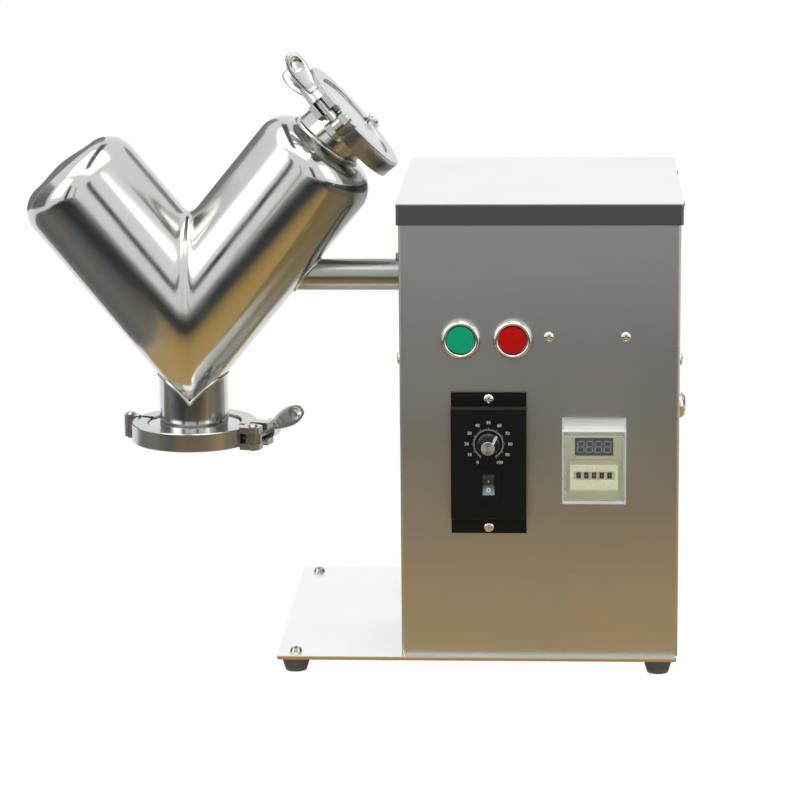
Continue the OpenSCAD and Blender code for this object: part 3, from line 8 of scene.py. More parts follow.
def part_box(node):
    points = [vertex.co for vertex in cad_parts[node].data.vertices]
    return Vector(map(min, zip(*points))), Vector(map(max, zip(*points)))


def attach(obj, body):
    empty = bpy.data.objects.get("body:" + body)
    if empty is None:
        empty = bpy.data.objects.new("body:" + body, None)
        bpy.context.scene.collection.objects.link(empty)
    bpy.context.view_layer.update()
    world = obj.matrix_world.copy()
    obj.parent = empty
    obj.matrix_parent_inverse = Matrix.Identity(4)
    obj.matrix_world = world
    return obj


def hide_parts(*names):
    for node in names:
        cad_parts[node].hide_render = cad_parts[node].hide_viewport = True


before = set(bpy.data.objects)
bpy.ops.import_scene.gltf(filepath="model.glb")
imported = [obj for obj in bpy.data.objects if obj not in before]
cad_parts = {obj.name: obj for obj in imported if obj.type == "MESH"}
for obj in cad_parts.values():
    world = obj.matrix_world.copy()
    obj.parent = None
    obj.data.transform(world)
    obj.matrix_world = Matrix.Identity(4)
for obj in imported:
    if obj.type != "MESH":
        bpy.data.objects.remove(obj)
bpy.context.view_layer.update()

print("packed model loaded")


# helpers for materials

def linearColour(hexText):
    # the shaders want linear values, the swatches are written as on screen
    parts = [int(hexText[i:i + 2], 16) / 255 for i in (1, 3, 5)]
    return [p / 12.92 if p <= 0.04045 else ((p + 0.055) / 1.055) ** 2.4 for p in parts] + [1.0]


def addNode(tree, kind, settings=None, links=None):
    node = tree.nodes.new(kind)
    for key, value in (settings or {}).items():
        if isinstance(key, int) or key in node.inputs:
            node.inputs[key].default_value = value
        else:
            setattr(node, key, value)
    for key, source in (links or {}).items():
        tree.links.new(source, node.inputs[key])
    return node


def startMaterial(name):
    material = bpy.data.materials.new(name)
    material.use_nodes = True
    tree = material.node_tree
    shader = tree.nodes["Principled BSDF"]
    place = addNode(tree, "ShaderNodeTexCoord").outputs["Object"]
    return material, tree, shader, place


def twoTones(light, dark):
    # settings of a mix between two swatches
    return {"data_type": "RGBA", 6: linearColour(light), 7: linearColour(dark)}


def wireShader(tree, shader, colour, rough, bump):
    tree.links.new(colour, shader.inputs["Base Color"])
    tree.links.new(rough, shader.inputs["Roughness"])
    if bump:
        tree.links.new(bump, shader.inputs["Normal"])


def paintNodes(material, *names):
    for name in names:
        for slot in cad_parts[name].material_slots:
            slot.material = material


# helpers for places and shapes

cabinetCorner = Vector(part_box("cabinet_shell")[0])


def fromCabinet(x, y, z):
    # millimetres from the cabinet's left side, its front face and the floor
    return Vector((cabinetCorner.x + x / 1000, cabinetCorner.y + y / 1000, z / 1000))


def middleOf(node):
    # a node's middle in those millimetres
    low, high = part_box(node)
    middle = (low + high) / 2
    return Vector((middle.x - cabinetCorner.x, middle.y - cabinetCorner.y, middle.z)) * 1000


def outOf(x, y, z, turn, axis):
    # a place in millimetres whose z axis is turned away from the upright
    turned = Matrix.Translation(fromCabinet(x, y, z)) @ Matrix.Rotation(math.radians(turn), 4, axis)
    return turned @ Matrix.Scale(0.001, 4)


def makePiece(name, points, faces, material, body, slot, smooth=True, crease=None):
    # crease is the angle in degrees from which an edge stays sharp
    mesh = bpy.data.meshes.new(name)
    mesh.from_pydata([tuple(p) for p in points], [], faces)
    mesh.validate()
    if crease:
        shape = bmesh.new()
        shape.from_mesh(mesh)
        bmesh.ops.recalc_face_normals(shape, faces=shape.faces)
        shape.to_mesh(mesh)
        shape.free()
    mesh.update()
    piece = bpy.data.objects.new(name, mesh)
    bpy.context.scene.collection.objects.link(piece)
    mesh.materials.append(material)
    if smooth:
        mesh.shade_smooth()
    if crease:
        mesh.set_sharp_from_angle(angle=math.radians(crease))
    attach(piece, body)
    return piece


def addPart(points, faces, morePoints, moreFaces):
    first = len(points)
    points.extend(morePoints)
    faces.extend(tuple(i + first for i in f) for f in moreFaces)


def ringFaces(rings, steps, closed=False, capped=False):
    # squares between rings of points that follow each other; a closed row joins its last ring to its first
    faces = []
    for i in range(rings if closed else rings - 1):
        j = (i + 1) % rings
        for k in range(steps):
            n = (k + 1) % steps
            faces.append((i * steps + k, i * steps + n, j * steps + n, j * steps + k))
    if capped:
        faces.append(tuple(range(steps - 1, -1, -1)))
        faces.append(tuple((rings - 1) * steps + k for k in range(steps)))
    return faces


def latheShape(profile, place, steps, closed=False, ripple=None):
    # turns a profile of (radius, height) points about the z axis of a place
    points = []
    for radius, height in profile:
        for k in range(steps):
            a = 2 * math.pi * k / steps
            r = radius * ripple(a, height) if ripple else radius
            points.append(place @ Vector((r * math.cos(a), r * math.sin(a), height)))
    return points, ringFaces(len(profile), steps, closed, not closed)


def sweepShape(line, radius, sides):
    # carries a round section along a closed line, starting on the side away from the line's middle
    middle = sum(line, Vector()) / len(line)
    points, count = [], len(line)
    for i, point in enumerate(line):
        along = (line[(i + 1) % count] - line[i - 1]).normalized()
        away = point - middle
        out = (away - along * away.dot(along)).normalized()
        side = along.cross(out)
        for k in range(sides):
            a = 2 * math.pi * k / sides
            points.append(point + out * radius * math.cos(a) + side * radius * math.sin(a))
    return points, ringFaces(count, sides, closed=True)


def ovalArc(middle, radii, first, last, steps):
    # part of an oval as (radius, height) points, from one angle to another
    points = []
    for i in range(steps + 1):
        a = math.radians(first + (last - first) * i / steps)
        points.append((middle[0] + radii[0] * math.cos(a), middle[1] + radii[1] * math.sin(a)))
    return points


# camera and studio

cameraSetup = {
    "place": (0.177013, -2.56495, 0.75919),
    "pitch": 0.2144,
    "roll": -0.0094,
    "yaw": -0.0556,
    "lens": 142.06,
    "sensor": 36,
    "clip": (0.05, 60),
}


def makeCamera(setup):
    pitch, roll, yaw = setup["pitch"], setup["roll"], setup["yaw"]
    forward = Vector((math.sin(yaw) * math.cos(pitch), math.cos(yaw) * math.cos(pitch), -math.sin(pitch)))
    level = Vector((math.cos(yaw), -math.sin(yaw), 0))
    upright = level.cross(forward)
    xAxis = math.cos(roll) * level + math.sin(roll) * upright
    yAxis = math.cos(roll) * upright - math.sin(roll) * level
    data = bpy.data.cameras.new("photoCamera")
    data.lens = setup["lens"]
    data.sensor_width = setup["sensor"]
    data.clip_start, data.clip_end = setup["clip"]
    camera = bpy.data.objects.new("photoCamera", data)
    bpy.context.scene.collection.objects.link(camera)
    turn = Matrix((xAxis, yAxis, -forward)).transposed().to_4x4()
    camera.matrix_world = Matrix.Translation(Vector(setup["place"])) @ turn
    bpy.context.scene.camera = camera


makeCamera(cameraSetup)
bpy.context.scene.view_settings.view_transform = "Standard"

studio = {
    "floorColour": "#f6f6f4",
    "floorReach": 9.0,
    "whiteShare": 0.97,   # how much of the floor's look is plain white, the rest takes the shadow
    "worldStrength": 0.62,
    "lamps": [
        # name, place, looks at, width, height, power, colour
        ("topSoftbox", (-0.2, -0.4, 2.4), (0.05, 0.0, 0.3), 2.8, 2.2, 34, "#fffdf8"),
        ("leftSoftbox", (-2.3, -1.5, 1.5), (-0.1, 0.0, 0.3), 1.4, 1.9, 15, "#fbfdff"),
        ("rightSoftbox", (2.4, -1.7, 1.4), (0.1, 0.0, 0.2), 1.3, 1.7, 9, "#fffaf2"),
    ],
    "cards": [
        # name, centre, faces, width, height, strength, colours from the lower edge upwards
        ("nearTable", (0.43, -0.25, 0.003), (0, 0, 1), 1.72, 1.0, 0.95,
         ["#66645a", "#c4a162", "#ceb074", "#c9b07c"]),
        ("darkTable", (0.0, -1.22, 0.004), (0, 0, 1), 3.4, 0.96, 0.8,
         ["#65686a", "#404244", "#404244", "#5c5a55"]),
        ("farTable", (0.0, -2.6, 0.003), (0, 0, 1), 4.4, 1.8, 0.8, ["#b5b6b6", "#9fa0a0", "#77797a"]),
        ("leftTable", (-0.92, -0.28, 0.005), (0, 0, 1), 0.98, 1.3, 0.8,
         ["#3a3c3f", "#46484b", "#6f7274", "#8b8881", "#7b7e80", "#a2a4a5"]),
        ("backLeft", (-1.75, 2.2, 0.9), (0, -1, 0), 2.3, 1.9, 0.75, ["#8b8d8e", "#9a9c9d", "#b7b9ba"]),
        ("backRight", (2.0, 2.2, 0.9), (0, -1, 0), 2.3, 1.9, 0.75, ["#8b8d8e", "#9a9c9d", "#b7b9ba"]),
        ("leftWall", (-2.9, 0.8, 0.9), (1, 0, 0), 2.6, 1.9, 0.75, ["#7a7c7e", "#8f9193", "#c0c2c3"]),
        ("rightWall", (3.1, 0.8, 0.9), (-1, 0, 0), 2.6, 1.9, 0.75, ["#7a7c7e", "#8f9193", "#c0c2c3"]),
        ("darkPost", (-1.5, -2.4, 0.85), (0.5, 0.85, 0), 0.34, 1.7, 0.6, ["#303335", "#46494b"]),
        ("midPost", (0.75, -3.0, 0.9), (-0.3, 0.95, 0), 0.42, 1.5, 0.6, ["#35383a", "#5a5d5f"]),
        ("warmPost", (-0.75, -3.2, 0.75), (0.2, 0.98, 0), 0.16, 1.3, 0.8, ["#a98e66", "#b9a27e"]),
        ("ceilingBeam", (-0.35, 0.3, 2.2), (0, 0, -1), 0.4, 2.6, 0.6, ["#5a5d60", "#6d7072"]),
    ],
}


def flatMesh(name, halfWidth, halfHeight, material):
    mesh = bpy.data.meshes.new(name)
    w, h = halfWidth, halfHeight
    mesh.from_pydata([(-w, -h, 0), (w, -h, 0), (w, h, 0), (-w, h, 0)], [], [(0, 1, 2, 3)])
    mesh.materials.append(material)
    board = bpy.data.objects.new(name, mesh)
    bpy.context.scene.collection.objects.link(board)
    return board


def seenRays(tree):
    # 1 for what looks at the background, mirrors it or sees it through glass
    rays = addNode(tree, "ShaderNodeLightPath")
    seen = addNode(tree, "ShaderNodeMath", {"operation": "ADD", "use_clamp": True},
                   {0: rays.outputs["Is Camera Ray"], 1: rays.outputs["Is Glossy Ray"]})
    return addNode(tree, "ShaderNodeMath", {"operation": "ADD", "use_clamp": True},
                   {0: seen.outputs[0], 1: rays.outputs["Is Transmission Ray"]}).outputs[0]


def makeBackground(s):
    # white to look at, softer as a light, so that colours keep
    material, tree, shader, _ = startMaterial("white studio sweep")
    shader.inputs["Base Color"].default_value = linearColour(s["floorColour"])
    shader.inputs["Roughness"].default_value = 0.9
    glow = addNode(tree, "ShaderNodeEmission", {"Color": (1, 1, 1, 1), "Strength": 1.0})
    share = addNode(tree, "ShaderNodeMath", {"operation": "MULTIPLY", 1: s["whiteShare"]},
                    {0: seenRays(tree)})
    blend = addNode(tree, "ShaderNodeMixShader", {},
                    {0: share.outputs[0], 1: shader.outputs[0], 2: glow.outputs[0]})
    tree.links.new(blend.outputs[0], tree.nodes["Material Output"].inputs["Surface"])
    flatMesh("studioFloor", s["floorReach"], s["floorReach"], material)

    world = bpy.data.worlds.new("studioWorld")
    bpy.context.scene.world = world
    world.use_nodes = True
    tree = world.node_tree
    level = addNode(tree, "ShaderNodeMapRange", {"To Min": s["worldStrength"], "To Max": 1.0},
                    {"Value": seenRays(tree)})
    back = tree.nodes["Background"]
    back.inputs["Color"].default_value = (1, 1, 1, 1)
    tree.links.new(level.outputs[0], back.inputs["Strength"])


def makeLamps(lamps):
    for name, place, aim, width, height, power, colour in lamps:
        data = bpy.data.lights.new(name, "AREA")
        data.shape = "RECTANGLE"
        data.size, data.size_y = width, height
        data.energy = power
        data.color = linearColour(colour)[:3]
        lamp = bpy.data.objects.new(name, data)
        bpy.context.scene.collection.objects.link(lamp)
        lamp.location = place
        lamp.rotation_mode = "QUATERNION"
        lamp.rotation_quaternion = (Vector(aim) - Vector(place)).to_track_quat("-Z", "Y")


def makeCards(cards):
    # boards that only shiny surfaces mirror, as in a photographer's tent
    for name, centre, faces, width, height, strength, colours in cards:
        material, tree, _, place = startMaterial(name)
        spot = addNode(tree, "ShaderNodeSeparateXYZ", {}, {0: place})
        share = addNode(tree, "ShaderNodeMapRange", {"From Min": -height / 2, "From Max": height / 2},
                        {"Value": spot.outputs["Y"]})
        tint = addNode(tree, "ShaderNodeValToRGB", {}, {0: share.outputs[0]})
        stops = tint.color_ramp.elements
        while len(stops) < len(colours):
            stops.new(0.5)
        for i, colour in enumerate(colours):
            stops[i].position = i / (len(colours) - 1)
            stops[i].color = linearColour(colour)
        glow = addNode(tree, "ShaderNodeEmission", {"Strength": strength}, {"Color": tint.outputs[0]})
        tree.links.new(glow.outputs[0], tree.nodes["Material Output"].inputs["Surface"])
        card = flatMesh(name, width / 2, height / 2, material)
        zAxis = Vector(faces).normalized()
        yAxis = Vector((0, 1, 0)) if abs(zAxis.z) > 0.9 else Vector((0, 0, 1))
        turn = Matrix((yAxis.cross(zAxis).normalized(), yAxis, zAxis)).transposed().to_4x4()
        card.matrix_world = Matrix.Translation(centre) @ turn
        card.visible_camera = False
        card.visible_diffuse = False
        card.visible_shadow = False
        card.visible_transmission = False
        card.visible_volume_scatter = False


makeBackground(studio)
makeLamps(studio["lamps"])
makeCards(studio["cards"])
print("camera and studio made")


# recipes of the materials; swatches are a light and a dark tone, grains and depths are in metres

def mirrorSteel(name, light, dark, roughLow, roughHigh):
    # 304 stainless sheet, rolled and buffed to a mirror: clean reflections that waver a little,
    # with faint buffing haze in patches of about 45 mm
    material, tree, shader, place = startMaterial(name)
    shader.inputs["Metallic"].default_value = 1.0
    haze = addNode(tree, "ShaderNodeTexNoise", {"Scale": 22.0, "Detail": 4.0, "Roughness": 0.6},
                   {"Vector": place})
    rough = addNode(tree, "ShaderNodeMapRange",
                    {"From Min": 0.3, "From Max": 0.75, "To Min": roughLow, "To Max": roughHigh},
                    {"Value": haze.outputs["Fac"]})
    tint = addNode(tree, "ShaderNodeMix", twoTones(light, dark), {0: haze.outputs["Fac"]})
    # hand planishing leaves waves of about 40 mm, far finer than a millimetre in height;
    # the buffing wheel's marks, under 0.1 mm, are drawn 1.1 mm wide
    wave = addNode(tree, "ShaderNodeTexNoise", {"Scale": 25.0, "Detail": 1.0}, {"Vector": place})
    fine = addNode(tree, "ShaderNodeTexNoise", {"Scale": 900.0, "Detail": 2.0}, {"Vector": place})
    relief = addNode(tree, "ShaderNodeMath", {"operation": "MULTIPLY_ADD", 1: 0.012},
                     {0: fine.outputs["Fac"], 2: wave.outputs["Fac"]})
    bump = addNode(tree, "ShaderNodeBump", {"Strength": 0.35, "Distance": 0.0006},
                   {"Height": relief.outputs[0]})
    wireShader(tree, shader, tint.outputs[2], rough.outputs[0], bump.outputs[0])
    return material


def brushedSteel(name, light, dark, roughLow, roughHigh, along, paintedShade=None, paintedShadeTop=0.0):
    # 304 sheet ground with a 180 grit belt: short hair lines 0.2 mm apart along one axis,
    # drawn 0.5 mm apart so that they show, and a soft stretched shine across them;
    # clouds of about 110 mm come from the belt's uneven pressure
    material, tree, shader, place = startMaterial(name)
    shader.inputs["Metallic"].default_value = 1.0
    scale = {"x": (8.0, 2000.0, 2000.0), "y": (2000.0, 8.0, 2000.0)}[along]
    stretch = addNode(tree, "ShaderNodeMapping", {"Scale": scale}, {"Vector": place})
    hair = addNode(tree, "ShaderNodeTexNoise", {"Scale": 1.0, "Detail": 3.0, "Roughness": 0.65},
                   {"Vector": stretch.outputs[0]})
    cloud = addNode(tree, "ShaderNodeTexNoise", {"Scale": 9.0, "Detail": 2.0}, {"Vector": place})
    both = addNode(tree, "ShaderNodeMath", {"operation": "MULTIPLY_ADD", 1: 0.7},
                   {0: hair.outputs["Fac"], 2: cloud.outputs["Fac"]})
    share = addNode(tree, "ShaderNodeMapRange", {"From Min": 0.55, "From Max": 1.15},
                    {"Value": both.outputs[0]})
    tint = addNode(tree, "ShaderNodeMix", twoTones(light, dark), {0: share.outputs[0]})
    rough = addNode(tree, "ShaderNodeMapRange", {"To Min": roughLow, "To Max": roughHigh},
                    {"Value": share.outputs[0]})
    bump = addNode(tree, "ShaderNodeBump", {"Strength": 0.25, "Distance": 0.00004},
                   {"Height": hair.outputs["Fac"]})
    colour = tint.outputs[2]
    if paintedShade:
        # painted shade: cut edges and folded lips are painted dark, and the flat top stays bright
        spot = addNode(tree, "ShaderNodeSeparateXYZ", {}, {0: place})
        height = addNode(tree, "ShaderNodeMapRange", {"From Min": paintedShadeTop - 0.001, "From Max": paintedShadeTop},
                         {"Value": spot.outputs["Z"]})
        colour = addNode(tree, "ShaderNodeMix", {"data_type": "RGBA", 6: linearColour(paintedShade)},
                         {0: height.outputs[0], 7: colour}).outputs[2]
    wireShader(tree, shader, colour, rough.outputs[0], bump.outputs[0])
    return material


def coatedMetal(name, light, dark, metallic, roughLow, roughHigh, grain, depth):
    # cast, plated, turned or painted metal: a grain of the given size, mottled in patches about
    # 17 times as wide, and a roughness that wanders with it; tool marks and plating crystals
    # are really below 0.1 mm and are drawn coarser so that they show
    material, tree, shader, place = startMaterial(name)
    shader.inputs["Metallic"].default_value = metallic
    fine = addNode(tree, "ShaderNodeTexNoise", {"Scale": 1 / grain, "Detail": 3.0, "Roughness": 0.6},
                   {"Vector": place})
    broad = addNode(tree, "ShaderNodeTexNoise", {"Scale": 0.06 / grain, "Detail": 2.0}, {"Vector": place})
    share = addNode(tree, "ShaderNodeMath", {"operation": "MULTIPLY_ADD", 1: 0.4, 2: 0.3},
                    {0: fine.outputs["Fac"]})
    share = addNode(tree, "ShaderNodeMath", {"operation": "MULTIPLY_ADD", 1: 0.6, "use_clamp": True},
                    {0: broad.outputs["Fac"], 2: share.outputs[0]})
    tint = addNode(tree, "ShaderNodeMix", twoTones(light, dark), {0: share.outputs[0]})
    rough = addNode(tree, "ShaderNodeMapRange", {"To Min": roughLow, "To Max": roughHigh},
                    {"Value": share.outputs[0]})
    bump = addNode(tree, "ShaderNodeBump", {"Strength": 0.5, "Distance": depth},
                   {"Height": fine.outputs["Fac"]})
    wireShader(tree, shader, tint.outputs[2], rough.outputs[0], bump.outputs[0])
    return material


def mouldedPlastic(name, light, dark, roughLow, roughHigh, grain, depth, coat=0.0, ior=1.53):
    # moulded ABS, nylon or rubber: a spark eroded grain, and small changes of gloss over
    # about 22 mm; grains of 0.05 mm are drawn half a millimetre wide or more
    material, tree, shader, place = startMaterial(name)
    shader.inputs["IOR"].default_value = ior
    shader.inputs["Coat Weight"].default_value = coat
    shader.inputs["Coat Roughness"].default_value = 0.08
    fine = addNode(tree, "ShaderNodeTexVoronoi", {"Scale": 1 / grain}, {"Vector": place})
    broad = addNode(tree, "ShaderNodeTexNoise", {"Scale": 45.0, "Detail": 3.0}, {"Vector": place})
    tint = addNode(tree, "ShaderNodeMix", twoTones(light, dark), {0: broad.outputs["Fac"]})
    rough = addNode(tree, "ShaderNodeMapRange", {"To Min": roughLow, "To Max": roughHigh},
                    {"Value": broad.outputs["Fac"]})
    bump = addNode(tree, "ShaderNodeBump", {"Strength": 0.35, "Distance": depth},
                   {"Height": fine.outputs["Distance"]})
    wireShader(tree, shader, tint.outputs[2], rough.outputs[0], bump.outputs[0])
    return material


def pressedLens(name, light, dark):
    # tinted polycarbonate lens over a frosted diffuser: an even, deep colour with a satin skin;
    # the frost's grains of 0.1 mm are drawn 1.4 mm wide
    material, tree, shader, place = startMaterial(name)
    # below the bare plastic's 1.58, because the frosted back dulls it
    shader.inputs["IOR"].default_value = 1.2
    frost = addNode(tree, "ShaderNodeTexNoise", {"Scale": 700.0, "Detail": 3.0}, {"Vector": place})
    tint = addNode(tree, "ShaderNodeMix", twoTones(light, dark), {0: frost.outputs["Fac"]})
    rough = addNode(tree, "ShaderNodeMapRange", {"To Min": 0.28, "To Max": 0.42},
                    {"Value": frost.outputs["Fac"]})
    bump = addNode(tree, "ShaderNodeBump", {"Strength": 0.2, "Distance": 0.00005},
                   {"Height": frost.outputs["Fac"]})
    wireShader(tree, shader, tint.outputs[2], rough.outputs[0], bump.outputs[0])
    return material


coverHighlights = {
    # widths in metres of the parts with painted highlights
    "edge": 0.0014,
    "foot": 0.0022,
    "bend": 0.0074,
    "bendClear": 0.0035,
    "bendMargin": 0.0004,
    # how strongly each painted highlight whitens them
    "edgeHighlight": 0.6,
    "topHighlight": 0.35,
}


def clearCover(c):
    # clear polycarbonate cover: see-through, with a faint moulding haze of 8 mm patches;
    # its thick edges and the bend of its top get painted highlights, drawn white and less clear
    material, tree, shader, place = startMaterial("clear polycarbonate")
    shader.inputs["IOR"].default_value = 1.2
    low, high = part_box("timer_cover")
    haze = addNode(tree, "ShaderNodeTexNoise", {"Scale": 120.0, "Detail": 2.0}, {"Vector": place})
    spot = addNode(tree, "ShaderNodeSeparateXYZ", {}, {0: place})
    across = addNode(tree, "ShaderNodeMath", {"operation": "SUBTRACT", 1: (low.x + high.x) / 2},
                     {0: spot.outputs["X"]})
    across = addNode(tree, "ShaderNodeMath", {"operation": "ABSOLUTE"}, {0: across.outputs[0]})
    side = addNode(tree, "ShaderNodeMath", {"operation": "GREATER_THAN", 1: (high.x - low.x) / 2 - c["edge"]},
                   {0: across.outputs[0]})
    foot = addNode(tree, "ShaderNodeMath", {"operation": "LESS_THAN", 1: low.z + c["foot"]},
                   {0: spot.outputs["Z"]})
    rim = addNode(tree, "ShaderNodeMath", {"operation": "MAXIMUM"}, {0: side.outputs[0], 1: foot.outputs[0]})
    rim = addNode(tree, "ShaderNodeMath", {"operation": "MULTIPLY", 1: c["edgeHighlight"]}, {0: rim.outputs[0]})
    top = addNode(tree, "ShaderNodeMapRange",
                  {"From Min": high.z - c["bend"], "From Max": high.z - c["bendClear"], "To Min": 1.0,
                   "To Max": c["topHighlight"]}, {"Value": spot.outputs["Z"]})
    bendFoot = high.z - c["bend"] - c["bendMargin"]
    above = addNode(tree, "ShaderNodeMath", {"operation": "GREATER_THAN", 1: bendFoot},
                    {0: spot.outputs["Z"]})
    top = addNode(tree, "ShaderNodeMath", {"operation": "MULTIPLY"}, {0: top.outputs[0], 1: above.outputs[0]})
    # painted highlight: this share makes the edges and the bend white and less clear
    frost = addNode(tree, "ShaderNodeMath", {"operation": "MAXIMUM"}, {0: rim.outputs[0], 1: top.outputs[0]})
    clear = addNode(tree, "ShaderNodeMapRange", {"To Min": 1.0, "To Max": 0.12}, {"Value": frost.outputs[0]})
    tree.links.new(clear.outputs[0], shader.inputs["Transmission Weight"])
    tint = addNode(tree, "ShaderNodeMix", twoTones("#f6f7f4", "#e9ece8"), {0: frost.outputs[0]})
    grain = addNode(tree, "ShaderNodeMath", {"operation": "MULTIPLY", 1: 0.35}, {0: frost.outputs[0]})
    rough = addNode(tree, "ShaderNodeMath", {"operation": "MULTIPLY_ADD", 1: 0.03},
                    {0: haze.outputs["Fac"], 2: grain.outputs[0]})
    wireShader(tree, shader, tint.outputs[2], rough.outputs[0], None)
    return material


def rockerPlastic():
    # nylon rocker, black above and fading to grey blue below as painted light where its lower half faces up,
    # with a spark eroded grain drawn 0.6 mm wide
    material, tree, shader, place = startMaterial("nylon rocker, painted light below")
    shader.inputs["IOR"].default_value = 1.53
    low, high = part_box("rocker_switch")
    spot = addNode(tree, "ShaderNodeSeparateXYZ", {}, {0: place})
    lower = addNode(tree, "ShaderNodeMapRange",
                    {"From Min": (low.z + high.z) / 2 + 0.0004, "From Max": low.z + 0.002},
                    {"Value": spot.outputs["Z"]})
    grain = addNode(tree, "ShaderNodeTexNoise", {"Scale": 1600.0, "Detail": 2.0}, {"Vector": place})
    # painted light: grey blue on the lower half, which faces up into the light
    tint = addNode(tree, "ShaderNodeMix", twoTones("#1b1e20", "#7d8e92"), {0: lower.outputs[0]})
    rough = addNode(tree, "ShaderNodeMapRange", {"To Min": 0.52, "To Max": 0.66},
                    {"Value": grain.outputs["Fac"]})
    bump = addNode(tree, "ShaderNodeBump", {"Strength": 0.3, "Distance": 0.00004},
                   {"Height": grain.outputs["Fac"]})
    wireShader(tree, shader, tint.outputs[2], rough.outputs[0], bump.outputs[0])
    return material


def spunAluminium(ringStep=0.0005):
    # aluminium disc faced on a lathe: rings 0.3 mm apart round its middle, drawn 0.5 mm apart,
    # that draw the light out into bright fans
    material, tree, shader, place = startMaterial("spun aluminium cap")
    shader.inputs["Metallic"].default_value = 1.0
    shader.inputs["Anisotropic"].default_value = 0.8
    rings = addNode(tree, "ShaderNodeTangent", {"direction_type": "RADIAL", "axis": "Y"})
    tree.links.new(rings.outputs[0], shader.inputs["Tangent"])
    low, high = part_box("speed_knob")
    off = addNode(tree, "ShaderNodeVectorMath", {"operation": "SUBTRACT", 1: tuple((low + high) / 2)},
                  {0: place})
    flat = addNode(tree, "ShaderNodeVectorMath", {"operation": "MULTIPLY", 1: (1, 0, 1)}, {0: off.outputs[0]})
    far = addNode(tree, "ShaderNodeVectorMath", {"operation": "LENGTH"}, {0: flat.outputs[0]})
    wave = addNode(tree, "ShaderNodeMath", {"operation": "MULTIPLY", 1: 2 * math.pi / ringStep},
                   {0: far.outputs["Value"]})
    wave = addNode(tree, "ShaderNodeMath", {"operation": "SINE"}, {0: wave.outputs[0]})
    haze = addNode(tree, "ShaderNodeTexNoise", {"Scale": 500.0, "Detail": 2.0}, {"Vector": place})
    tint = addNode(tree, "ShaderNodeMix", twoTones("#c9cacb", "#b9babb"), {0: haze.outputs["Fac"]})
    rough = addNode(tree, "ShaderNodeMapRange", {"To Min": 0.3, "To Max": 0.4},
                    {"Value": haze.outputs["Fac"]})
    bump = addNode(tree, "ShaderNodeBump", {"Strength": 0.15, "Distance": 0.00001},
                   {"Height": wave.outputs[0]})
    wireShader(tree, shader, tint.outputs[2], rough.outputs[0], bump.outputs[0])
    return material


# the materials and what each gives the eye

# mirror that wavers a little, bright and cold
mirrorBuffed = mirrorSteel("mirror buffed stainless", "#d2d3d1", "#c4c4c0", 0.1, 0.2)
paintNodes(mirrorBuffed, "vessel_left_shell", "vessel_right_shell", "outlet_neck", "inlet_neck",
           "outlet_cap", "inlet_cap")
# satin grey sheet with level hair lines
panelSteel = brushedSteel("brushed stainless cabinet sheet", "#c6c7c4", "#b4b5b2", 0.27, 0.38, "x")
paintNodes(panelSteel, "cabinet_shell", "rear_panel")
# duller and darker, its lines run along the tube
tubeSteel = brushedSteel("ground stainless tube", "#a6a7a4", "#969794", 0.24, 0.34, "y")
paintNodes(tubeSteel, "hub_tube")
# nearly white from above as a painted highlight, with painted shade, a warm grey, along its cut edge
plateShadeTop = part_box("base_plate")[1].z - 0.0003   # just under the top, so that only the edge is dark
plateSteel = brushedSteel("brushed stainless base plate", "#fcfcfb", "#f6f6f4", 0.26, 0.38, "x", "#bcb7ae",
                          plateShadeTop)
paintNodes(plateSteel, "base_plate")
# nearly white from above as a painted highlight, its folded lip painted dark as shade
coverShadeTop = 0.3828   # metres above the floor
coverSteel = brushedSteel("brushed stainless cover", "#f4f4f2", "#eaeae8", 0.28, 0.38, "x", "#6b6c6b",
                          coverShadeTop)
paintNodes(coverSteel, "top_cover")
# bright and a little soft, as cast and then polished
castSteel = coatedMetal("polished cast stainless", "#d8d9d7", "#c0c1bf", 1.0, 0.12, 0.24, 0.0009, 0.00003)
paintNodes(castSteel, "outlet_clamp_front", "inlet_clamp_front", "outlet_clamp_rear", "inlet_clamp_rear",
           "outlet_wing_nut", "inlet_wing_nut")
# clean and shiny, with faint tool marks
turnedSteel = coatedMetal("turned stainless", "#c6c7c4", "#b3b4b1", 1.0, 0.12, 0.22, 0.0006, 0.00002)
paintNodes(turnedSteel, "drive_shaft", "motor_rotor", "cluster_gear", "output_gear", "clamp_pins",
           "button_springs", "outlet_bolt", "inlet_bolt")
# warm grey shine
platedScrew = coatedMetal("nickel plated screw", "#cfcdc8", "#b9b7b1", 1.0, 0.14, 0.26, 0.0005, 0.00002)
paintNodes(platedScrew, "pan_head_screws", "foot_screws", "hub_screw")
# nearly white heads with dark slots
brightScrew = coatedMetal("bright nickel plated screw", "#f0efec", "#dedcd8", 1.0, 0.06, 0.14, 0.0008,
                          0.00001)
# dull dark grey
blackScrew = coatedMetal("blackened screw", "#6f7173", "#4d4f51", 1.0, 0.3, 0.45, 0.0006, 0.00003)
paintNodes(blackScrew, "hex_bolts")
# cold and very smooth
groundSteel = coatedMetal("ground bearing steel", "#c9cccd", "#b5b8b9", 1.0, 0.08, 0.18, 0.0008, 0.00001)
paintNodes(groundSteel, "bearing_outer_rings", "bearing_inner_rings", "bearing_balls")
# matt silver with a pebbled skin
castAlloy = coatedMetal("die cast aluminium", "#a7a9aa", "#8c8e90", 1.0, 0.35, 0.5, 0.0012, 0.00008)
paintNodes(castAlloy, "bearing_housing", "gearhead_case", "driven_pulley", "driving_pulley")
# pale grey with large soft patches
zincPlate = coatedMetal("zinc plated sheet", "#aeb2b0", "#93979a", 1.0, 0.3, 0.45, 0.004, 0.00002)
paintNodes(zincPlate, "drive_frame")
# dark blue grey enamel, softly glossy
motorPaint = coatedMetal("stove enamelled motor", "#3c4145", "#30353a", 0.0, 0.35, 0.5, 0.0010, 0.00008)
paintNodes(motorPaint, "motor_housing")
# red brown and uneven
copperWire = coatedMetal("varnished copper winding", "#a4562e", "#7c3b1e", 0.8, 0.25, 0.4, 0.0012, 0.0002)
paintNodes(copperWire, "stator")
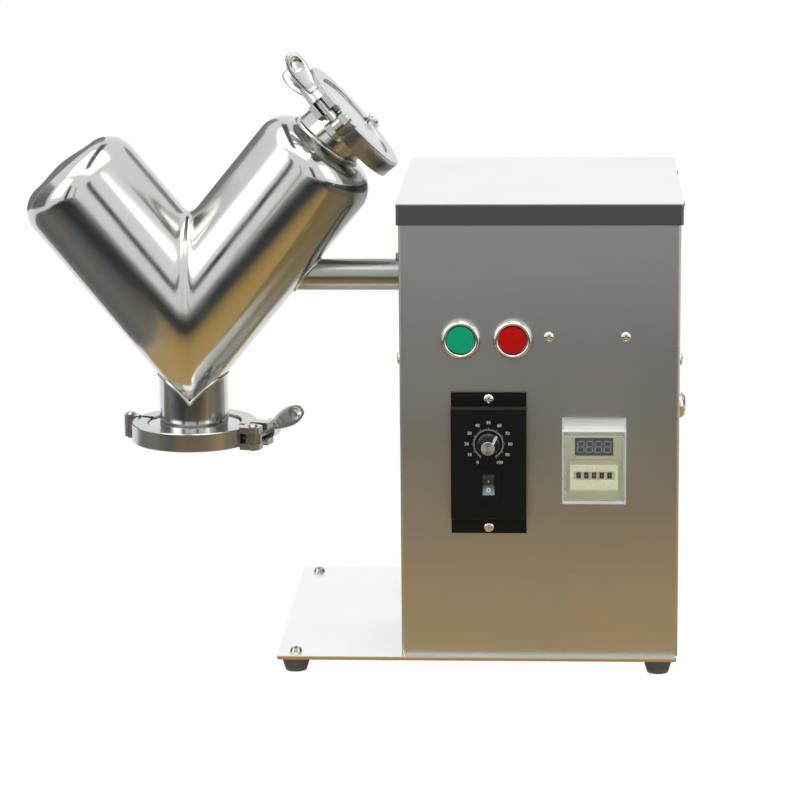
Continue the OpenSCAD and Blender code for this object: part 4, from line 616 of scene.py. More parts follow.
# bright, a shade warmer than steel
nickelGland = coatedMetal("nickel plated brass", "#dedddb", "#cbcac7", 1.0, 0.12, 0.25, 0.0007, 0.00002)
paintNodes(nickelGland, "cable_gland")
# white highlights along a round rim
chromeBezel = coatedMetal("bright chromed bezel", "#eeeeec", "#e2e2df", 1.0, 0.1, 0.18, 0.0006, 0.00001)
paintNodes(chromeBezel, "button_bezels")
# deep matt black; its grain hides most of the shine, so the IOR is below the usual 1.53
blackFace = mouldedPlastic("black moulded ABS face", "#090a0a", "#060707", 0.4, 0.52, 0.0005, 0.00005,
                           ior=1.3)
paintNodes(blackFace, "controller_face", "controller_case")
# grey beige, matt
creamCase = mouldedPlastic("grey beige moulded ABS", "#c3bfa6", "#b7b298", 0.42, 0.55, 0.0006, 0.00004)
paintNodes(creamCase, "timer_case")
# pale cream, slightly glossy
creamBlock = mouldedPlastic("cream moulded ABS", "#ecead0", "#e3e0c2", 0.36, 0.5, 0.0006, 0.00003)
# off-white inside the clear cover
paleFrame = mouldedPlastic("pale polycarbonate frame", "#d9d9cf", "#cfcfc4", 0.3, 0.42, 0.001, 0.00002)
# plain white, satin
whiteCan = mouldedPlastic("white capacitor can", "#dcddd8", "#cfd0ca", 0.4, 0.5, 0.001, 0.00004)
paintNodes(whiteCan, "capacitor")
# dark green, matt
greenBlock = mouldedPlastic("green nylon contact block", "#2f6b4a", "#275a3e", 0.4, 0.55, 0.001, 0.00005)
paintNodes(greenBlock, "contact_blocks")
# dark grey without shine
rubberFoot = mouldedPlastic("black moulded rubber", "#4e4f51", "#3e3f41", 0.55, 0.72, 0.0006, 0.00012)
paintNodes(rubberFoot, "rubber_feet")
# black and dusty
beltRubber = mouldedPlastic("belt rubber", "#232323", "#181818", 0.6, 0.75, 0.0015, 0.0002)
paintNodes(beltRubber, "drive_belt")
# milky white line between the flanges
whiteGasket = mouldedPlastic("white silicone gasket", "#eceae2", "#dddbd2", 0.45, 0.6, 0.001, 0.00003)
paintNodes(whiteGasket, "port_gaskets")
# dark and glossy under a clear coat
windowBlack = mouldedPlastic("smoked display window", "#2b2f2e", "#252928", 0.08, 0.14, 0.002, 0.00001, 0.5)
paintNodes(windowBlack, "timer_display")
# grey bars that aren't lit
segmentGrey = mouldedPlastic("unlit segment", "#7c8081", "#707475", 0.35, 0.5, 0.0006, 0.00001)
# soft black wheels, one of them red brown
wheelBlack = mouldedPlastic("black thumbwheel", "#2a2b2d", "#1f2022", 0.38, 0.5, 0.0006, 0.00003)
paintNodes(wheelBlack, "digit_wheel_1", "digit_wheel_2", "digit_wheel_4", "digit_wheel_5")
wheelRed = mouldedPlastic("red brown thumbwheel", "#8e3a22", "#7a2f1b", 0.38, 0.5, 0.0006, 0.00003)
paintNodes(wheelRed, "digit_wheel_3")
# glossy black that mirrors the panel
knobBlack = mouldedPlastic("black phenolic knob", "#101112", "#0a0b0c", 0.2, 0.32, 0.0008, 0.00003, 0.3)
paintNodes(knobBlack, "speed_knob")
# flat inks without shine
printWhite = mouldedPlastic("white screen print", "#d7d9d8", "#c6c8c7", 0.5, 0.62, 0.0004, 0.00001)
printGrey = mouldedPlastic("grey screen print", "#8f9396", "#83878a", 0.5, 0.62, 0.0004, 0.00001)
greenLens = pressedLens("green push button lens", "#049c74", "#038a63")
paintNodes(greenLens, "start_button")
redLens = pressedLens("red push button lens", "#b40500", "#a00300")
paintNodes(redLens, "stop_button")
rockerMoulding = rockerPlastic()
paintNodes(rockerMoulding, "rocker_switch")
clearPlastic = clearCover(coverHighlights)
paintNodes(clearPlastic, "timer_cover")
knobFace = spunAluminium()
print("materials made")


# the V vessel, in metres

vessel = {
    "crossing": Vector((-0.139611, 0.0115, 0.2695)),   # where the axes of the arms and the outlet meet
    "radius": 0.053,
    "angle": math.radians(39.5),
    "leftLength": 0.166,
    "rightLength": 0.188,
    "shoulder": 0.024,
    "crown": 0.003,
    "crownShares": (0.9, 0.75, 0.6, 0.45, 0.3, 0.15, 0.05),
    "shoulderRows": 18,
    "wallRows": 24,
    # distances of the first rows of points from the seam
    "seamRows": (0, 0.0004, 0.0008, 0.0013, 0.002, 0.003, 0.0045, 0.0065, 0.009, 0.0125, 0.017),
    "seamBlend": 0.007,   # half width of the ground weld
    "beadHeight": 0.0002,
    "beadWidth": 0.0016,
    "steps": 288,
    "neckRadius": 0.02875,
    "hubRadius": 0.013,
    "hubRise": 0.0345,
    "outletWeld": 0.0016,
    "hubWeld": 0.0018,
    "weldSteps": 160,
    "weldSides": 14,
    "outletDrop": 0.098,
    "inletReach": 0.2096,
    "inletTilt": math.radians(9.5),
}


def armShape(v, side, length):
    # lines of points from the mitre along the wall and over the shoulder to the crown
    sinA, cosA = math.sin(v["angle"]), math.cos(v["angle"])
    along = Vector((side * sinA, 0, cosA))
    outward = Vector((side * cosA, 0, -sinA))
    radius, shoulder, blendBy = v["radius"], v["shoulder"], v["seamBlend"]
    end, flat = length - v["crown"] - shoulder, radius - shoulder
    lines = []
    for k in range(v["steps"]):
        a = 2 * math.pi * k / v["steps"]
        spoke = outward * math.cos(a) + Vector((0, 1, 0)) * math.sin(a)
        start = -radius * math.cos(a) * cosA / sinA
        stops = [start + n for n in v["seamRows"]]
        run = end - stops[-1]
        stops += [stops[-1] + run * i / v["wallRows"] for i in range(1, v["wallRows"] + 1)]
        lean = -side * spoke.x / math.hypot(math.sin(a), math.cos(a) * sinA)
        lift = Vector((0, spoke.y, spoke.z)).normalized()
        line = []
        for t in stops:
            p = along * t + spoke * radius
            x = abs(p.x)
            if x < blendBy:
                p = p + lift * lean * (x * x / (2 * blendBy) + blendBy / 2 - x)
            line.append(p + lift * v["beadHeight"] * math.exp(-(x / v["beadWidth"]) ** 2))
        for i in range(1, v["shoulderRows"] + 1):
            b = math.radians(90 * i / v["shoulderRows"])
            line.append(along * (end + shoulder * math.sin(b)) + spoke * (flat + shoulder * math.cos(b)))
        for q in v["crownShares"]:
            line.append(along * crownTop(v, length, q) + spoke * (flat * q))
        lines.append(line)
    return lines


def crownTop(v, length, share):
    # height of the flat end along the arm, at a share of its radius
    return length - v["crown"] * (1 - (1 - share * share) ** 2)


def makeArm(v, name, side, length, node):
    lines = armShape(v, side, length)
    steps, count = len(lines), len(lines[0])
    points = [v["crossing"] + p for line in lines for p in line]
    faces = []   # the right arm mirrors the left, so its faces run the other way round
    for k in range(steps):
        n = (k + 1) % steps
        for i in range(count - 1):
            faces.append((k * count + i, n * count + i, n * count + i + 1, k * count + i + 1)[::-side])
    faces.append(tuple(k * count + count - 1 for k in range(steps))[::-side])
    piece = makePiece(name, points, faces, mirrorBuffed, "vessel", "mirror_steel")
    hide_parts(node)


def makeWelds(v):
    # fillets where the outlet neck and the hub tube meet the arms
    sinA, cosA = math.sin(v["angle"]), math.cos(v["angle"])
    neckLine, hubLine = [], []
    for k in range(v["weldSteps"]):
        a = 2 * math.pi * k / v["weldSteps"]
        x, y = v["neckRadius"] * math.cos(a), v["neckRadius"] * math.sin(a)
        z = (abs(x) * cosA - math.sqrt(v["radius"] ** 2 - y * y)) / sinA
        neckLine.append(v["crossing"] + Vector((x, y, z)))
        y, z = v["hubRadius"] * math.cos(a), v["hubRise"] + v["hubRadius"] * math.sin(a)
        x = (z * sinA + math.sqrt(v["radius"] ** 2 - y * y)) / cosA
        hubLine.append(v["crossing"] + Vector((x, y, z)))
    for name, line in (("outletWeld", neckLine), ("hubWeld", hubLine)):
        points, faces = sweepShape(line, v[name], v["weldSides"])
        makePiece(name, points, faces, mirrorBuffed, "vessel", "mirror_steel")


makeArm(vessel, "leftArm", -1, vessel["leftLength"], "vessel_left_shell")
makeArm(vessel, "rightArm", 1, vessel["rightLength"], "vessel_right_shell")
makeWelds(vessel)
print("vessel made")


# marks on the controls; their sizes, and those of all that follows, are in millimetres

def flatText(words, size):
    # outline of a line of figures, centred on the origin, as points and faces
    curve = bpy.data.curves.new("figures", "FONT")
    curve.body = words
    curve.size = size
    curve.align_x = "CENTER"
    curve.align_y = "CENTER"
    holder = bpy.data.objects.new("figures", curve)
    bpy.context.scene.collection.objects.link(holder)
    mesh = bpy.data.meshes.new_from_object(holder)
    points = [v.co.copy() for v in mesh.vertices]
    faces = [tuple(p.vertices) for p in mesh.polygons]
    bpy.data.objects.remove(holder)
    bpy.data.curves.remove(curve)
    bpy.data.meshes.remove(mesh)
    return points, faces


knobMiddle = middleOf("speed_knob")
dial = {
    "front": -12.06,
    "ringRadius": 11.3,
    "ringWidth": 0.45,
    "ringSteps": 90,
    "ticks": 50,
    "tickGap": 0.2,
    "tickHalf": 0.22,
    "tickLong": 1.9,
    "tickShort": 1.0,
    "figureRadius": 17.3,
    "figureSize": 3.5,
    "span": 300,   # degrees from the first figure to the last
}


def makeDial(d):
    def onFace(x, z):
        return fromCabinet(knobMiddle.x + x, d["front"], knobMiddle.z + z)

    def turnAt(share):
        return math.radians(-d["span"] / 2 + d["span"] * share)

    points, faces = [], []
    for value in range(0, 101, 10):
        a = turnAt(value / 100)
        shape, sides = flatText(str(value), d["figureSize"])
        x, z = d["figureRadius"] * math.sin(a), d["figureRadius"] * math.cos(a)
        addPart(points, faces, [onFace(x + p.x, z + p.y) for p in shape], sides)
    makePiece("dialFigures", points, faces, printWhite, "root", "display_black", smooth=False)

    points, faces = [], []
    half = d["ringWidth"] / 2
    for i in range(d["ringSteps"] + 1):
        a = turnAt(i / d["ringSteps"])
        for r in (d["ringRadius"] - half, d["ringRadius"] + half):
            points.append(onFace(r * math.sin(a), r * math.cos(a)))
        if i < d["ringSteps"]:
            faces.append((2 * i, 2 * i + 2, 2 * i + 3, 2 * i + 1))
    foot, across = d["ringRadius"] + d["tickGap"], d["tickHalf"]
    for i in range(d["ticks"] + 1):
        a = turnAt(i / d["ticks"])
        tip = foot + (d["tickLong"] if i % 5 == 0 else d["tickShort"])
        mark = []
        for r, w in ((foot, -across), (tip, -across), (tip, across), (foot, across)):
            mark.append(onFace(r * math.sin(a) + w * math.cos(a), r * math.cos(a) - w * math.sin(a)))
        addPart(points, faces, mark, [(0, 1, 2, 3)])
    makePiece("dialScale", points, faces, printGrey, "root", "display_black", smooth=False)


makeDial(dial)

displayMiddle = middleOf("timer_display")
display = {
    "front": -12.05,
    "digitWidth": 5.1,
    "digitHeight": 9.0,
    "pitch": 7.0,
    "stroke": 1.1,
    "gap": 0.18,
    "slant": 0.06,
    "dotGap": 1.1,
    "dotWidth": 0.8,
}


def makeDigits(d):
    # four unlit figures of seven pointed bars and a dot each
    w, h, half, gap = d["digitWidth"], d["digitHeight"] / 2, d["stroke"] / 2, d["gap"]
    shapes = []
    for z in (0, h, -h):
        shapes.append([(half + gap, z - half), (w - half - gap, z - half), (w - gap, z),
                       (w - half - gap, z + half), (half + gap, z + half), (gap, z)])
    for x in (0, w):
        for foot, top in ((0, h), (-h, 0)):
            low, high = foot + gap, top - gap
            shapes.append([(x - half, low + half), (x, low), (x + half, low + half),
                           (x + half, high - half), (x, high), (x - half, high - half)])
    left, right = w + d["dotGap"], w + d["dotGap"] + d["dotWidth"]
    shapes.append([(left, -h - half), (right, -h - half), (right, -h + half), (left, -h + half)])
    points, faces = [], []
    for n in range(4):
        start = displayMiddle.x + (n - 1.5) * d["pitch"] - w / 2
        for shape in shapes:
            spots = [fromCabinet(start + x + d["slant"] * z, d["front"], displayMiddle.z + z)
                     for x, z in shape]
            addPart(points, faces, spots, [tuple(range(len(spots)))])
    makePiece("displayDigits", points, faces, segmentGrey, "root", "display_black", smooth=False)


makeDigits(display)

wheelMiddle = middleOf("digit_wheel_3")
wheels = {
    "pitch": 6.1,
    "facet": 4.7553,   # from a wheel's axis to its flats
    "figureLift": 0.04,
    "figureSize": 3.0,
    "shown": [0, 0, 1, 0, 0],
}


def makeWheelFigures(w):
    # ten figures round each wheel, the shown one in front
    out = w["facet"] + w["figureLift"]
    for i, shown in enumerate(w["shown"]):
        x = wheelMiddle.x + (i - 2) * w["pitch"]
        points, faces = [], []
        for n in range(10):
            shape, sides = flatText(str((shown + n) % 10), w["figureSize"])
            a = math.radians(36 * n)
            ring = []
            for p in shape:
                y = -out * math.cos(a) + p.y * math.sin(a)
                z = out * math.sin(a) + p.y * math.cos(a)
                ring.append(fromCabinet(x + p.x, wheelMiddle.y + y, wheelMiddle.z + z))
            addPart(points, faces, ring, sides)
        makePiece("wheelFigures%d" % (i + 1), points, faces, printWhite, "digit_%d" % (i + 1),
                  "cream_plastic", smooth=False)


makeWheelFigures(wheels)
print("marks made")


# the controls; heights are measured outwards from the panel

buttons = {
    "kinds": [("start_button", "startLens", greenLens, "green_lens"),
              ("stop_button", "stopLens", redLens, "red_lens")],
    "bezelRadius": 15.9,
    "rimHeight": 0.9,
    "crestRadius": 13.2,
    "crestHeight": 6.8,
    "openRadius": 11.8,
    "openRound": 1.1,
    "seatHeight": 1.0,
    "barrelRadius": 11.0,
    "barrelLength": 14.0,
    "barrelWall": 1.5,
    "nutRadius": 14.5,
    "nutHeights": (-4.5, -1.5),
    "lensRadius": 11.1,
    "lensEdge": 1.1,
    "lensFoot": 4.3,
    "lensHeight": 6.3,
    "lensDome": [(9.0, 0.08), (5.0, 0.14), (1.0, 0.16)],
    "stemRadius": 4.0,
    "guideRadius": 8.8,
    "guideFoot": -3.5,
    "steps": 96,
    "nutSteps": 48,
}


def makeButtons(b):
    # rounded chrome rings with a flat lens inside each, and a dark gap between them
    barrel, foot, inner = b["barrelRadius"], -b["barrelLength"], b["barrelRadius"] - b["barrelWall"]
    edge, inside, rim = b["lensEdge"], b["openRound"], b["rimHeight"]
    ring = [(barrel, foot), (barrel, 0), (b["bezelRadius"], 0)]
    ring += ovalArc((b["crestRadius"], rim), (b["bezelRadius"] - b["crestRadius"], b["crestHeight"] - rim),
                    0, 90, 12)
    ring += ovalArc((b["crestRadius"], b["crestHeight"] - inside),
                    (b["crestRadius"] - b["openRadius"], inside), 100, 180, 5)
    ring += [(b["openRadius"], b["seatHeight"]), (inner, b["seatHeight"]), (inner, foot)]
    low, high = b["nutHeights"]
    nut = [(barrel, low), (b["nutRadius"], low), (b["nutRadius"], high), (barrel, high)]
    lens = [(b["stemRadius"], foot), (b["stemRadius"], b["guideFoot"]), (b["guideRadius"], b["guideFoot"]),
            (b["guideRadius"], b["lensFoot"]), (b["lensRadius"], b["lensFoot"])]
    lens += ovalArc((b["lensRadius"] - edge, b["lensHeight"] - edge), (edge, edge), 0, 90, 6)
    lens += [(r, b["lensHeight"] + rise) for r, rise in b["lensDome"]]
    points, faces = [], []
    for node, name, material, slot in b["kinds"]:
        middle = middleOf(node)
        place = outOf(middle.x, 0, middle.z, 90, "X")
        addPart(points, faces, *latheShape(ring, place, b["steps"], closed=True))
        addPart(points, faces, *latheShape(nut, place, b["nutSteps"], closed=True))
        piece = makePiece(name, *latheShape(lens, place, b["steps"]), material, node, slot, crease=40)
        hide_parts(node)
    piece = makePiece("buttonRings", points, faces, chromeBezel, "root", "bezel_chrome", crease=40)
    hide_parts("button_bezels")


makeButtons(buttons)

screws = {
    # shares of the head's radius or height
    "headHeight": 0.62,
    "wallShare": 0.3,
    "crossWide": 0.15,
    "crossLong": 0.62,
    "crossDeep": 0.34,
    "rings": 14,
    "steps": 56,
    "shank": 6.0,
    # head radii, and places that the sheets are drilled for
    "smallHead": 4.0,
    "bigHead": 4.8,
    "panelX": (118.6, 179.2),
    "panelZ": 276.9,
    "faceDepth": 3,
    "faceFoot": 5.3,
    "faceTop": 5.2,
    "rearX": (7.5, 214.5),
    "rearY": 261.5,
    "rearZ": (45.0, 199.0, 339.0),
    "coverX": (-1.8, 223.8),
    "coverY": (45.0, 215.0),
    "coverDrop": 8.5,
    "sideX": (0, 222),
    "sideY": (19.5, 240.5),
    "sideZ": 255.0,
}


def screwShape(s, radius, place):
    # domed head with a cross recess, and its shank
    rise, steps, rings = radius * s["headHeight"], s["steps"], s["rings"]

    def headPoint(i, k):
        return 1 + (i - 1) * steps + k % steps

    points, faces = [place @ Vector((0, 0, rise * (1 - s["crossDeep"])))], []
    for i in range(1, rings + 1):
        share = i / rings
        for k in range(steps):
            a = 2 * math.pi * k / steps
            x, y = share * math.cos(a), share * math.sin(a)
            height = s["wallShare"] + (1 - s["wallShare"]) * math.sqrt(1 - 0.96 * share * share)
            near, far = min(abs(x), abs(y)), max(abs(x), abs(y))
            if near < s["crossWide"] and far < s["crossLong"]:
                height -= s["crossDeep"] * (1 - 0.4 * far / s["crossLong"])
            points.append(place @ Vector((radius * x, radius * y, rise * height)))
    for k in range(steps):
        faces.append((0, headPoint(1, k), headPoint(1, k + 1)))
        for i in range(1, rings):
            faces.append((headPoint(i, k), headPoint(i + 1, k), headPoint(i + 1, k + 1), headPoint(i, k + 1)))
    low = len(points)
    for r, z in ((radius, 0), (radius / 2, 0), (radius / 2, -s["shank"])):
        for k in range(steps):
            a = 2 * math.pi * k / steps
            points.append(place @ Vector((r * math.cos(a), r * math.sin(a), z)))
    for k in range(steps):
        n = (k + 1) % steps
        faces.append((headPoint(rings, k), low + k, low + n, headPoint(rings, n)))
        for row in (low, low + steps):
            faces.append((row + k, row + steps + k, row + steps + n, row + n))
    faces.append(tuple(low + 2 * steps + k for k in range(steps)))
    return points, faces


def makeScrews(s):
    low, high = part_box("controller_face")
    faceZ = (low.z * 1000 + s["faceFoot"], high.z * 1000 - s["faceTop"])
    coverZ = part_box("top_cover")[1].z * 1000 - s["coverDrop"]
    small, big = s["smallHead"], s["bigHead"]
    places = [(small, outOf(x, 0, s["panelZ"], 90, "X")) for x in s["panelX"]]
    places += [(small, outOf(knobMiddle.x, -s["faceDepth"], z, 90, "X")) for z in faceZ]
    places += [(small, outOf(x, s["rearY"], z, -90, "X")) for x in s["rearX"] for z in s["rearZ"]]
    for x, sideX, turn in zip(s["coverX"], s["sideX"], (-90, 90)):
        places += [(small, outOf(x, y, coverZ, turn, "Y")) for y in s["coverY"]]
        places += [(big, outOf(sideX, y, s["sideZ"], turn, "Y")) for y in s["sideY"]]
    points, faces = [], []
    for radius, place in places:
        addPart(points, faces, *screwShape(s, radius, place))
    piece = makePiece("crossScrews", points, faces, brightScrew, "root", "zinc_screw", crease=32)
    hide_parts("pan_head_screws")


makeScrews(screws)

knob = {
    "base": 12.4,
    "front": 28.7,
    "bore": 3.0,
    "skirtRadius": 9.4,
    "skirtWall": 0.9,
    "skirtRise": 2.6,
    "gripRadius": 6.7,
    "gripFoot": 4.4,
    "noseRadius": 6.0,
    "noseRound": 0.6,
    "capRadius": 5.35,
    "pointerTurn": 45,
    "pointerWidth": 1.7,
    "flutes": 20,
    "fluteDepth": 0.035,   # share of the radius
    "steps": 160,
    "capSteps": 64,
}


def makeKnob(k):
    # fluted grip on a skirt, with a spun cap and a white pointer
    place = outOf(knobMiddle.x, 0, knobMiddle.z, 90, "X")
    base, front, rounding = k["base"], k["front"], k["noseRound"]
    hip = base + k["skirtWall"]
    waist = k["gripRadius"] + 0.3
    body = [(k["bore"], base), (k["skirtRadius"], base), (k["skirtRadius"], hip)]
    body += ovalArc((waist, hip), (k["skirtRadius"] - waist, k["skirtRise"]), 15, 90, 7)
    body += [(k["gripRadius"], base + k["gripFoot"]),
             ((k["gripRadius"] + k["noseRadius"]) / 2, (base + front) / 2)]
    body += ovalArc((k["noseRadius"] - rounding, front - rounding), (rounding, rounding), 0, 90, 4)
    body += [(0.5, front)]

    def flute(a, height):
        if base + 4 < height < front - 0.8:
            return 1 + k["fluteDepth"] * math.cos(k["flutes"] * a)
        return 1

    piece = makePiece("knobBody", *latheShape(body, place, k["steps"], ripple=flute), knobBlack, "knob",
                      "black_plastic", crease=40)
    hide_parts("speed_knob")
    cap = [(k["capRadius"], front - 0.2), (k["capRadius"], front + 0.1), (k["capRadius"] - 0.2, front + 0.25),
           (0.3, front + 0.28)]
    makePiece("knobCap", *latheShape(cap, place, k["capSteps"]), knobFace, "knob", "knob_metal", crease=30)
    # outline of the pointer from the cap's edge down to the skirt
    fin = [(5.3, front - 0.3), (5.3, front + 0.2), (6.3, front + 0.2), (7.0, front - 3), (9.35, base + 3.2),
           (9.4, base + 1.2), (6.2, base + 2)]
    turned = place @ Matrix.Rotation(math.radians(-k["pointerTurn"]), 4, "Z")
    points, count = [], len(fin)
    for side in (-0.5, 0.5):
        points += [turned @ Vector((side * k["pointerWidth"], r, h)) for r, h in fin]
    faces = [tuple(range(count)), tuple(range(2 * count - 1, count - 1, -1))]
    faces += [(i, (i + 1) % count, count + (i + 1) % count, count + i) for i in range(count)]
    makePiece("knobPointer", points, faces, printWhite, "knob", "black_plastic", crease=20)


makeKnob(knob)

rocker = {
    "tipOut": 6.0,
    "tipHalf": 7.5,
    "dip": 3.0,
    "tilt": 10,
    "axisDepth": 9.0,
    "drop": 32.8,   # from the knob's middle to the rocker's
    "markLift": 0.06,
    "barWidth": 0.9,
    "barHeight": 3.2,
    "ringOut": 1.75,
    "ringIn": 0.95,
    "ringSteps": 40,
}


def makeRockerMarks(r):
    # a bar on the upper half and a ring on the lower half
    axis = outOf(knobMiddle.x, -r["axisDepth"], knobMiddle.z - r["drop"], r["tilt"], "X")
    length = math.hypot(r["tipOut"] - r["dip"], r["tipHalf"])

    def onHalf(side, x, up):
        # up runs along the half's slope, measured from its middle
        t = length / 2 + side * up
        out = -(r["dip"] + (r["tipOut"] - r["dip"]) * t / length) - r["markLift"]
        return axis @ Vector((x, out, side * r["tipHalf"] * t / length))

    w, h = r["barWidth"] / 2, r["barHeight"] / 2
    points = [onHalf(1, x, up) for x, up in ((-w, -h), (w, -h), (w, h), (-w, h))]
    makePiece("rockerBar", points, [(0, 1, 2, 3)], printGrey, "rocker", "black_plastic", smooth=False)
    points, faces, steps = [], [], r["ringSteps"]
    for k in range(steps):
        a = 2 * math.pi * k / steps
        for radius in (r["ringIn"], r["ringOut"]):
            points.append(onHalf(-1, radius * math.cos(a), radius * math.sin(a)))
        n = (k + 1) % steps
        faces.append((2 * k, 2 * k + 1, 2 * n + 1, 2 * n))
    makePiece("rockerRing", points, faces, printWhite, "rocker", "black_plastic", smooth=False)


makeRockerMarks(rocker)

wheelBlock = {
    "outerWidth": 38.8,
    "outerHeight": 24.8,
    "rise": -0.3,
    "channelWidth": 32.5,
    "channelHeight": 6.6,
    "channelUp": 1.2,
    "back": 11.9,
    "front": 15.5,
    "floor": 15.02,
    "bevel": 2.6,
    "nubRadius": 1.5,
    "nubHeight": 1.0,
    "nubDrop": 4.6,
    "nubRise": 2.3,
    "nubSteps": 20,
}


def makeWheelBlock(b):
    # front of the thumbwheel block: bevelled above and below, with a channel for the windows
    middle = wheelMiddle + Vector((0, 0, b["rise"]))
    up = b["channelUp"] - b["rise"]
    w, h = b["outerWidth"] / 2, b["outerHeight"] / 2
    cw, ch = b["channelWidth"] / 2, b["channelHeight"] / 2
    back, front, bevel = b["back"], b["front"], b["bevel"]
    # half width, half height, shift upwards and reach of each ring of corners
    rings = [(w, h, 0, back), (w, h, 0, back + 0.6), (w - 0.4, h - bevel * 0.9, 0, front - 0.25),
             (w - 0.8, h - bevel, 0, front), (cw + 0.3, ch + 0.3, up, front), (cw, ch, up, front - 0.2),
             (cw, ch, up, b["floor"])]
    points = []
    for x, z, shift, out in rings:
        for sideX, sideZ in ((-1, -1), (1, -1), (1, 1), (-1, 1)):
            points.append(fromCabinet(middle.x + sideX * x, -out, middle.z + shift + sideZ * z))
    faces = ringFaces(len(rings), 4)
    nub = [(b["nubRadius"], front - 0.8)]
    nub += ovalArc((0, front - 0.2), (b["nubRadius"], b["nubHeight"]), 0, 80, 6)
    for i in range(-2, 3):
        for away in (-ch - b["nubDrop"], ch + b["nubRise"]):
            spot = outOf(middle.x + i * wheels["pitch"], 0, middle.z + up + away, 90, "X")
            addPart(points, faces, *latheShape(nub, spot, b["nubSteps"]))
    makePiece("wheelBlockFront", points, faces, creamBlock, "root", "cream_plastic", crease=25)


makeWheelBlock(wheelBlock)

timerFrame = {
    "wall": 1.6,
    "caseHalf": 22.4,
    "sideGap": 0.15,
    "back": 0.4,
    "front": 12.0,
    "bend": 10.0,
    "topRise": 6.0,
    "footWidth": 1.2,
    "topWidth": 1.3,
}


def makeTimerFrame(t):
    # pale frame between the timer's case and its clear cover, its top leaning back under the bend
    low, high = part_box("timer_cover")
    left = (low.x - cabinetCorner.x) * 1000 + t["wall"]
    right = (high.x - cabinetCorner.x) * 1000 - t["wall"]
    foot, top = low.z * 1000 + t["wall"], high.z * 1000 - t["bend"] - t["wall"]
    middle, half = (left + right) / 2, t["caseHalf"] + t["sideGap"]
    inner = (middle - half, middle + half, foot + t["footWidth"], top - t["topWidth"])
    corners = []
    for out, rise in ((t["back"], t["topRise"]), (t["front"], 0)):
        for x0, x1, z0, z1 in ((left, right, foot, top + rise), inner):
            corners += [fromCabinet(x, -out, z) for x, z in ((x0, z0), (x1, z0), (x1, z1), (x0, z1))]
    faces = []
    for k in range(4):
        n = (k + 1) % 4
        for a, b in ((0, 4), (12, 8), (4, 12), (8, 0)):
            faces.append((a + k, a + n, b + n, b + k))
    makePiece("timerFrame", corners, faces, paleFrame, "root", "cream_plastic", crease=20)


makeTimerFrame(timerFrame)
print("controls made")


# fittings of the two ports

def armPlace(v):
    # the right arm's axis, from the crossing upwards
    return Matrix.Translation(v["crossing"]) @ Matrix.Rotation(v["angle"], 4, "Y")


def portPlace(v, port):
    # middle of a port's gasket, its z axis pointing into the vessel
    if port == "outlet":
        return Matrix.Translation(v["crossing"]) @ Matrix.Translation((0, 0, -v["outletDrop"]))
    tilted = Matrix.Translation((0, 0, v["inletReach"])) @ Matrix.Rotation(v["inletTilt"], 4, "Y")
    return armPlace(v) @ tilted @ Matrix.Rotation(math.pi, 4, "X")


wingNut = {
    "clampTurn": {"outlet": -18, "inlet": 106},
    "nutTurn": {"outlet": -35, "inlet": 25},
    "boltX": 58.5,
    "footY": 15.05,
    "bore": 4.1,
    "footRadius": 8.0,
    "footHeight": 1.2,
    "neckHeight": 3.0,
    "hubRadius": 7.5,
    "hubHeight": 17.0,
    "hubRound": 1.6,
    "hubSteps": 64,
    # middle line of a wing as distance from the axis and height
    "line": [(6.8, 8.0), (7.2, 13.0), (9.2, 18.5), (12.4, 27.0), (15.2, 34.0), (19.6, 41.5)],
    "thickness": 4.2,
    "rootWidth": 9.0,
    "width": 16.0,
    "fullWidthAt": 0.55,   # shares of the line's length
    "tipFrom": 0.68,
    "dentAt": 0.74,
    "dentLong": 0.17,
    "dentWide": 0.33,
    "dentDepth": 1.5,
    "squareness": 0.55,
    "rings": 46,
    "around": 44,
}


def nutPlace(n, port):
    clamp = portPlace(vessel, port) @ Matrix.Rotation(math.radians(n["clampTurn"][port]), 4, "Z")
    seat = clamp @ Matrix.Scale(0.001, 4) @ Matrix.Translation((n["boltX"], n["footY"], 0))
    turned = seat @ Matrix.Rotation(-math.pi / 2, 4, "X")
    return turned @ Matrix.Rotation(math.radians(n["nutTurn"][port]), 4, "Z")


def alongLine(line, share):
    # smooth curve through the points of a line (a Catmull-Rom spline)
    spans = len(line) - 1
    i = min(int(share * spans), spans - 1)
    t = share * spans - i
    p = [Vector(line[max(0, min(spans, i + d))]) for d in (-1, 0, 1, 2)]
    return 0.5 * (2 * p[1] + (p[2] - p[0]) * t + (2 * p[0] - 5 * p[1] + 4 * p[2] - p[3]) * t * t
                  + (3 * p[1] - p[0] - 3 * p[2] + p[3]) * t ** 3)


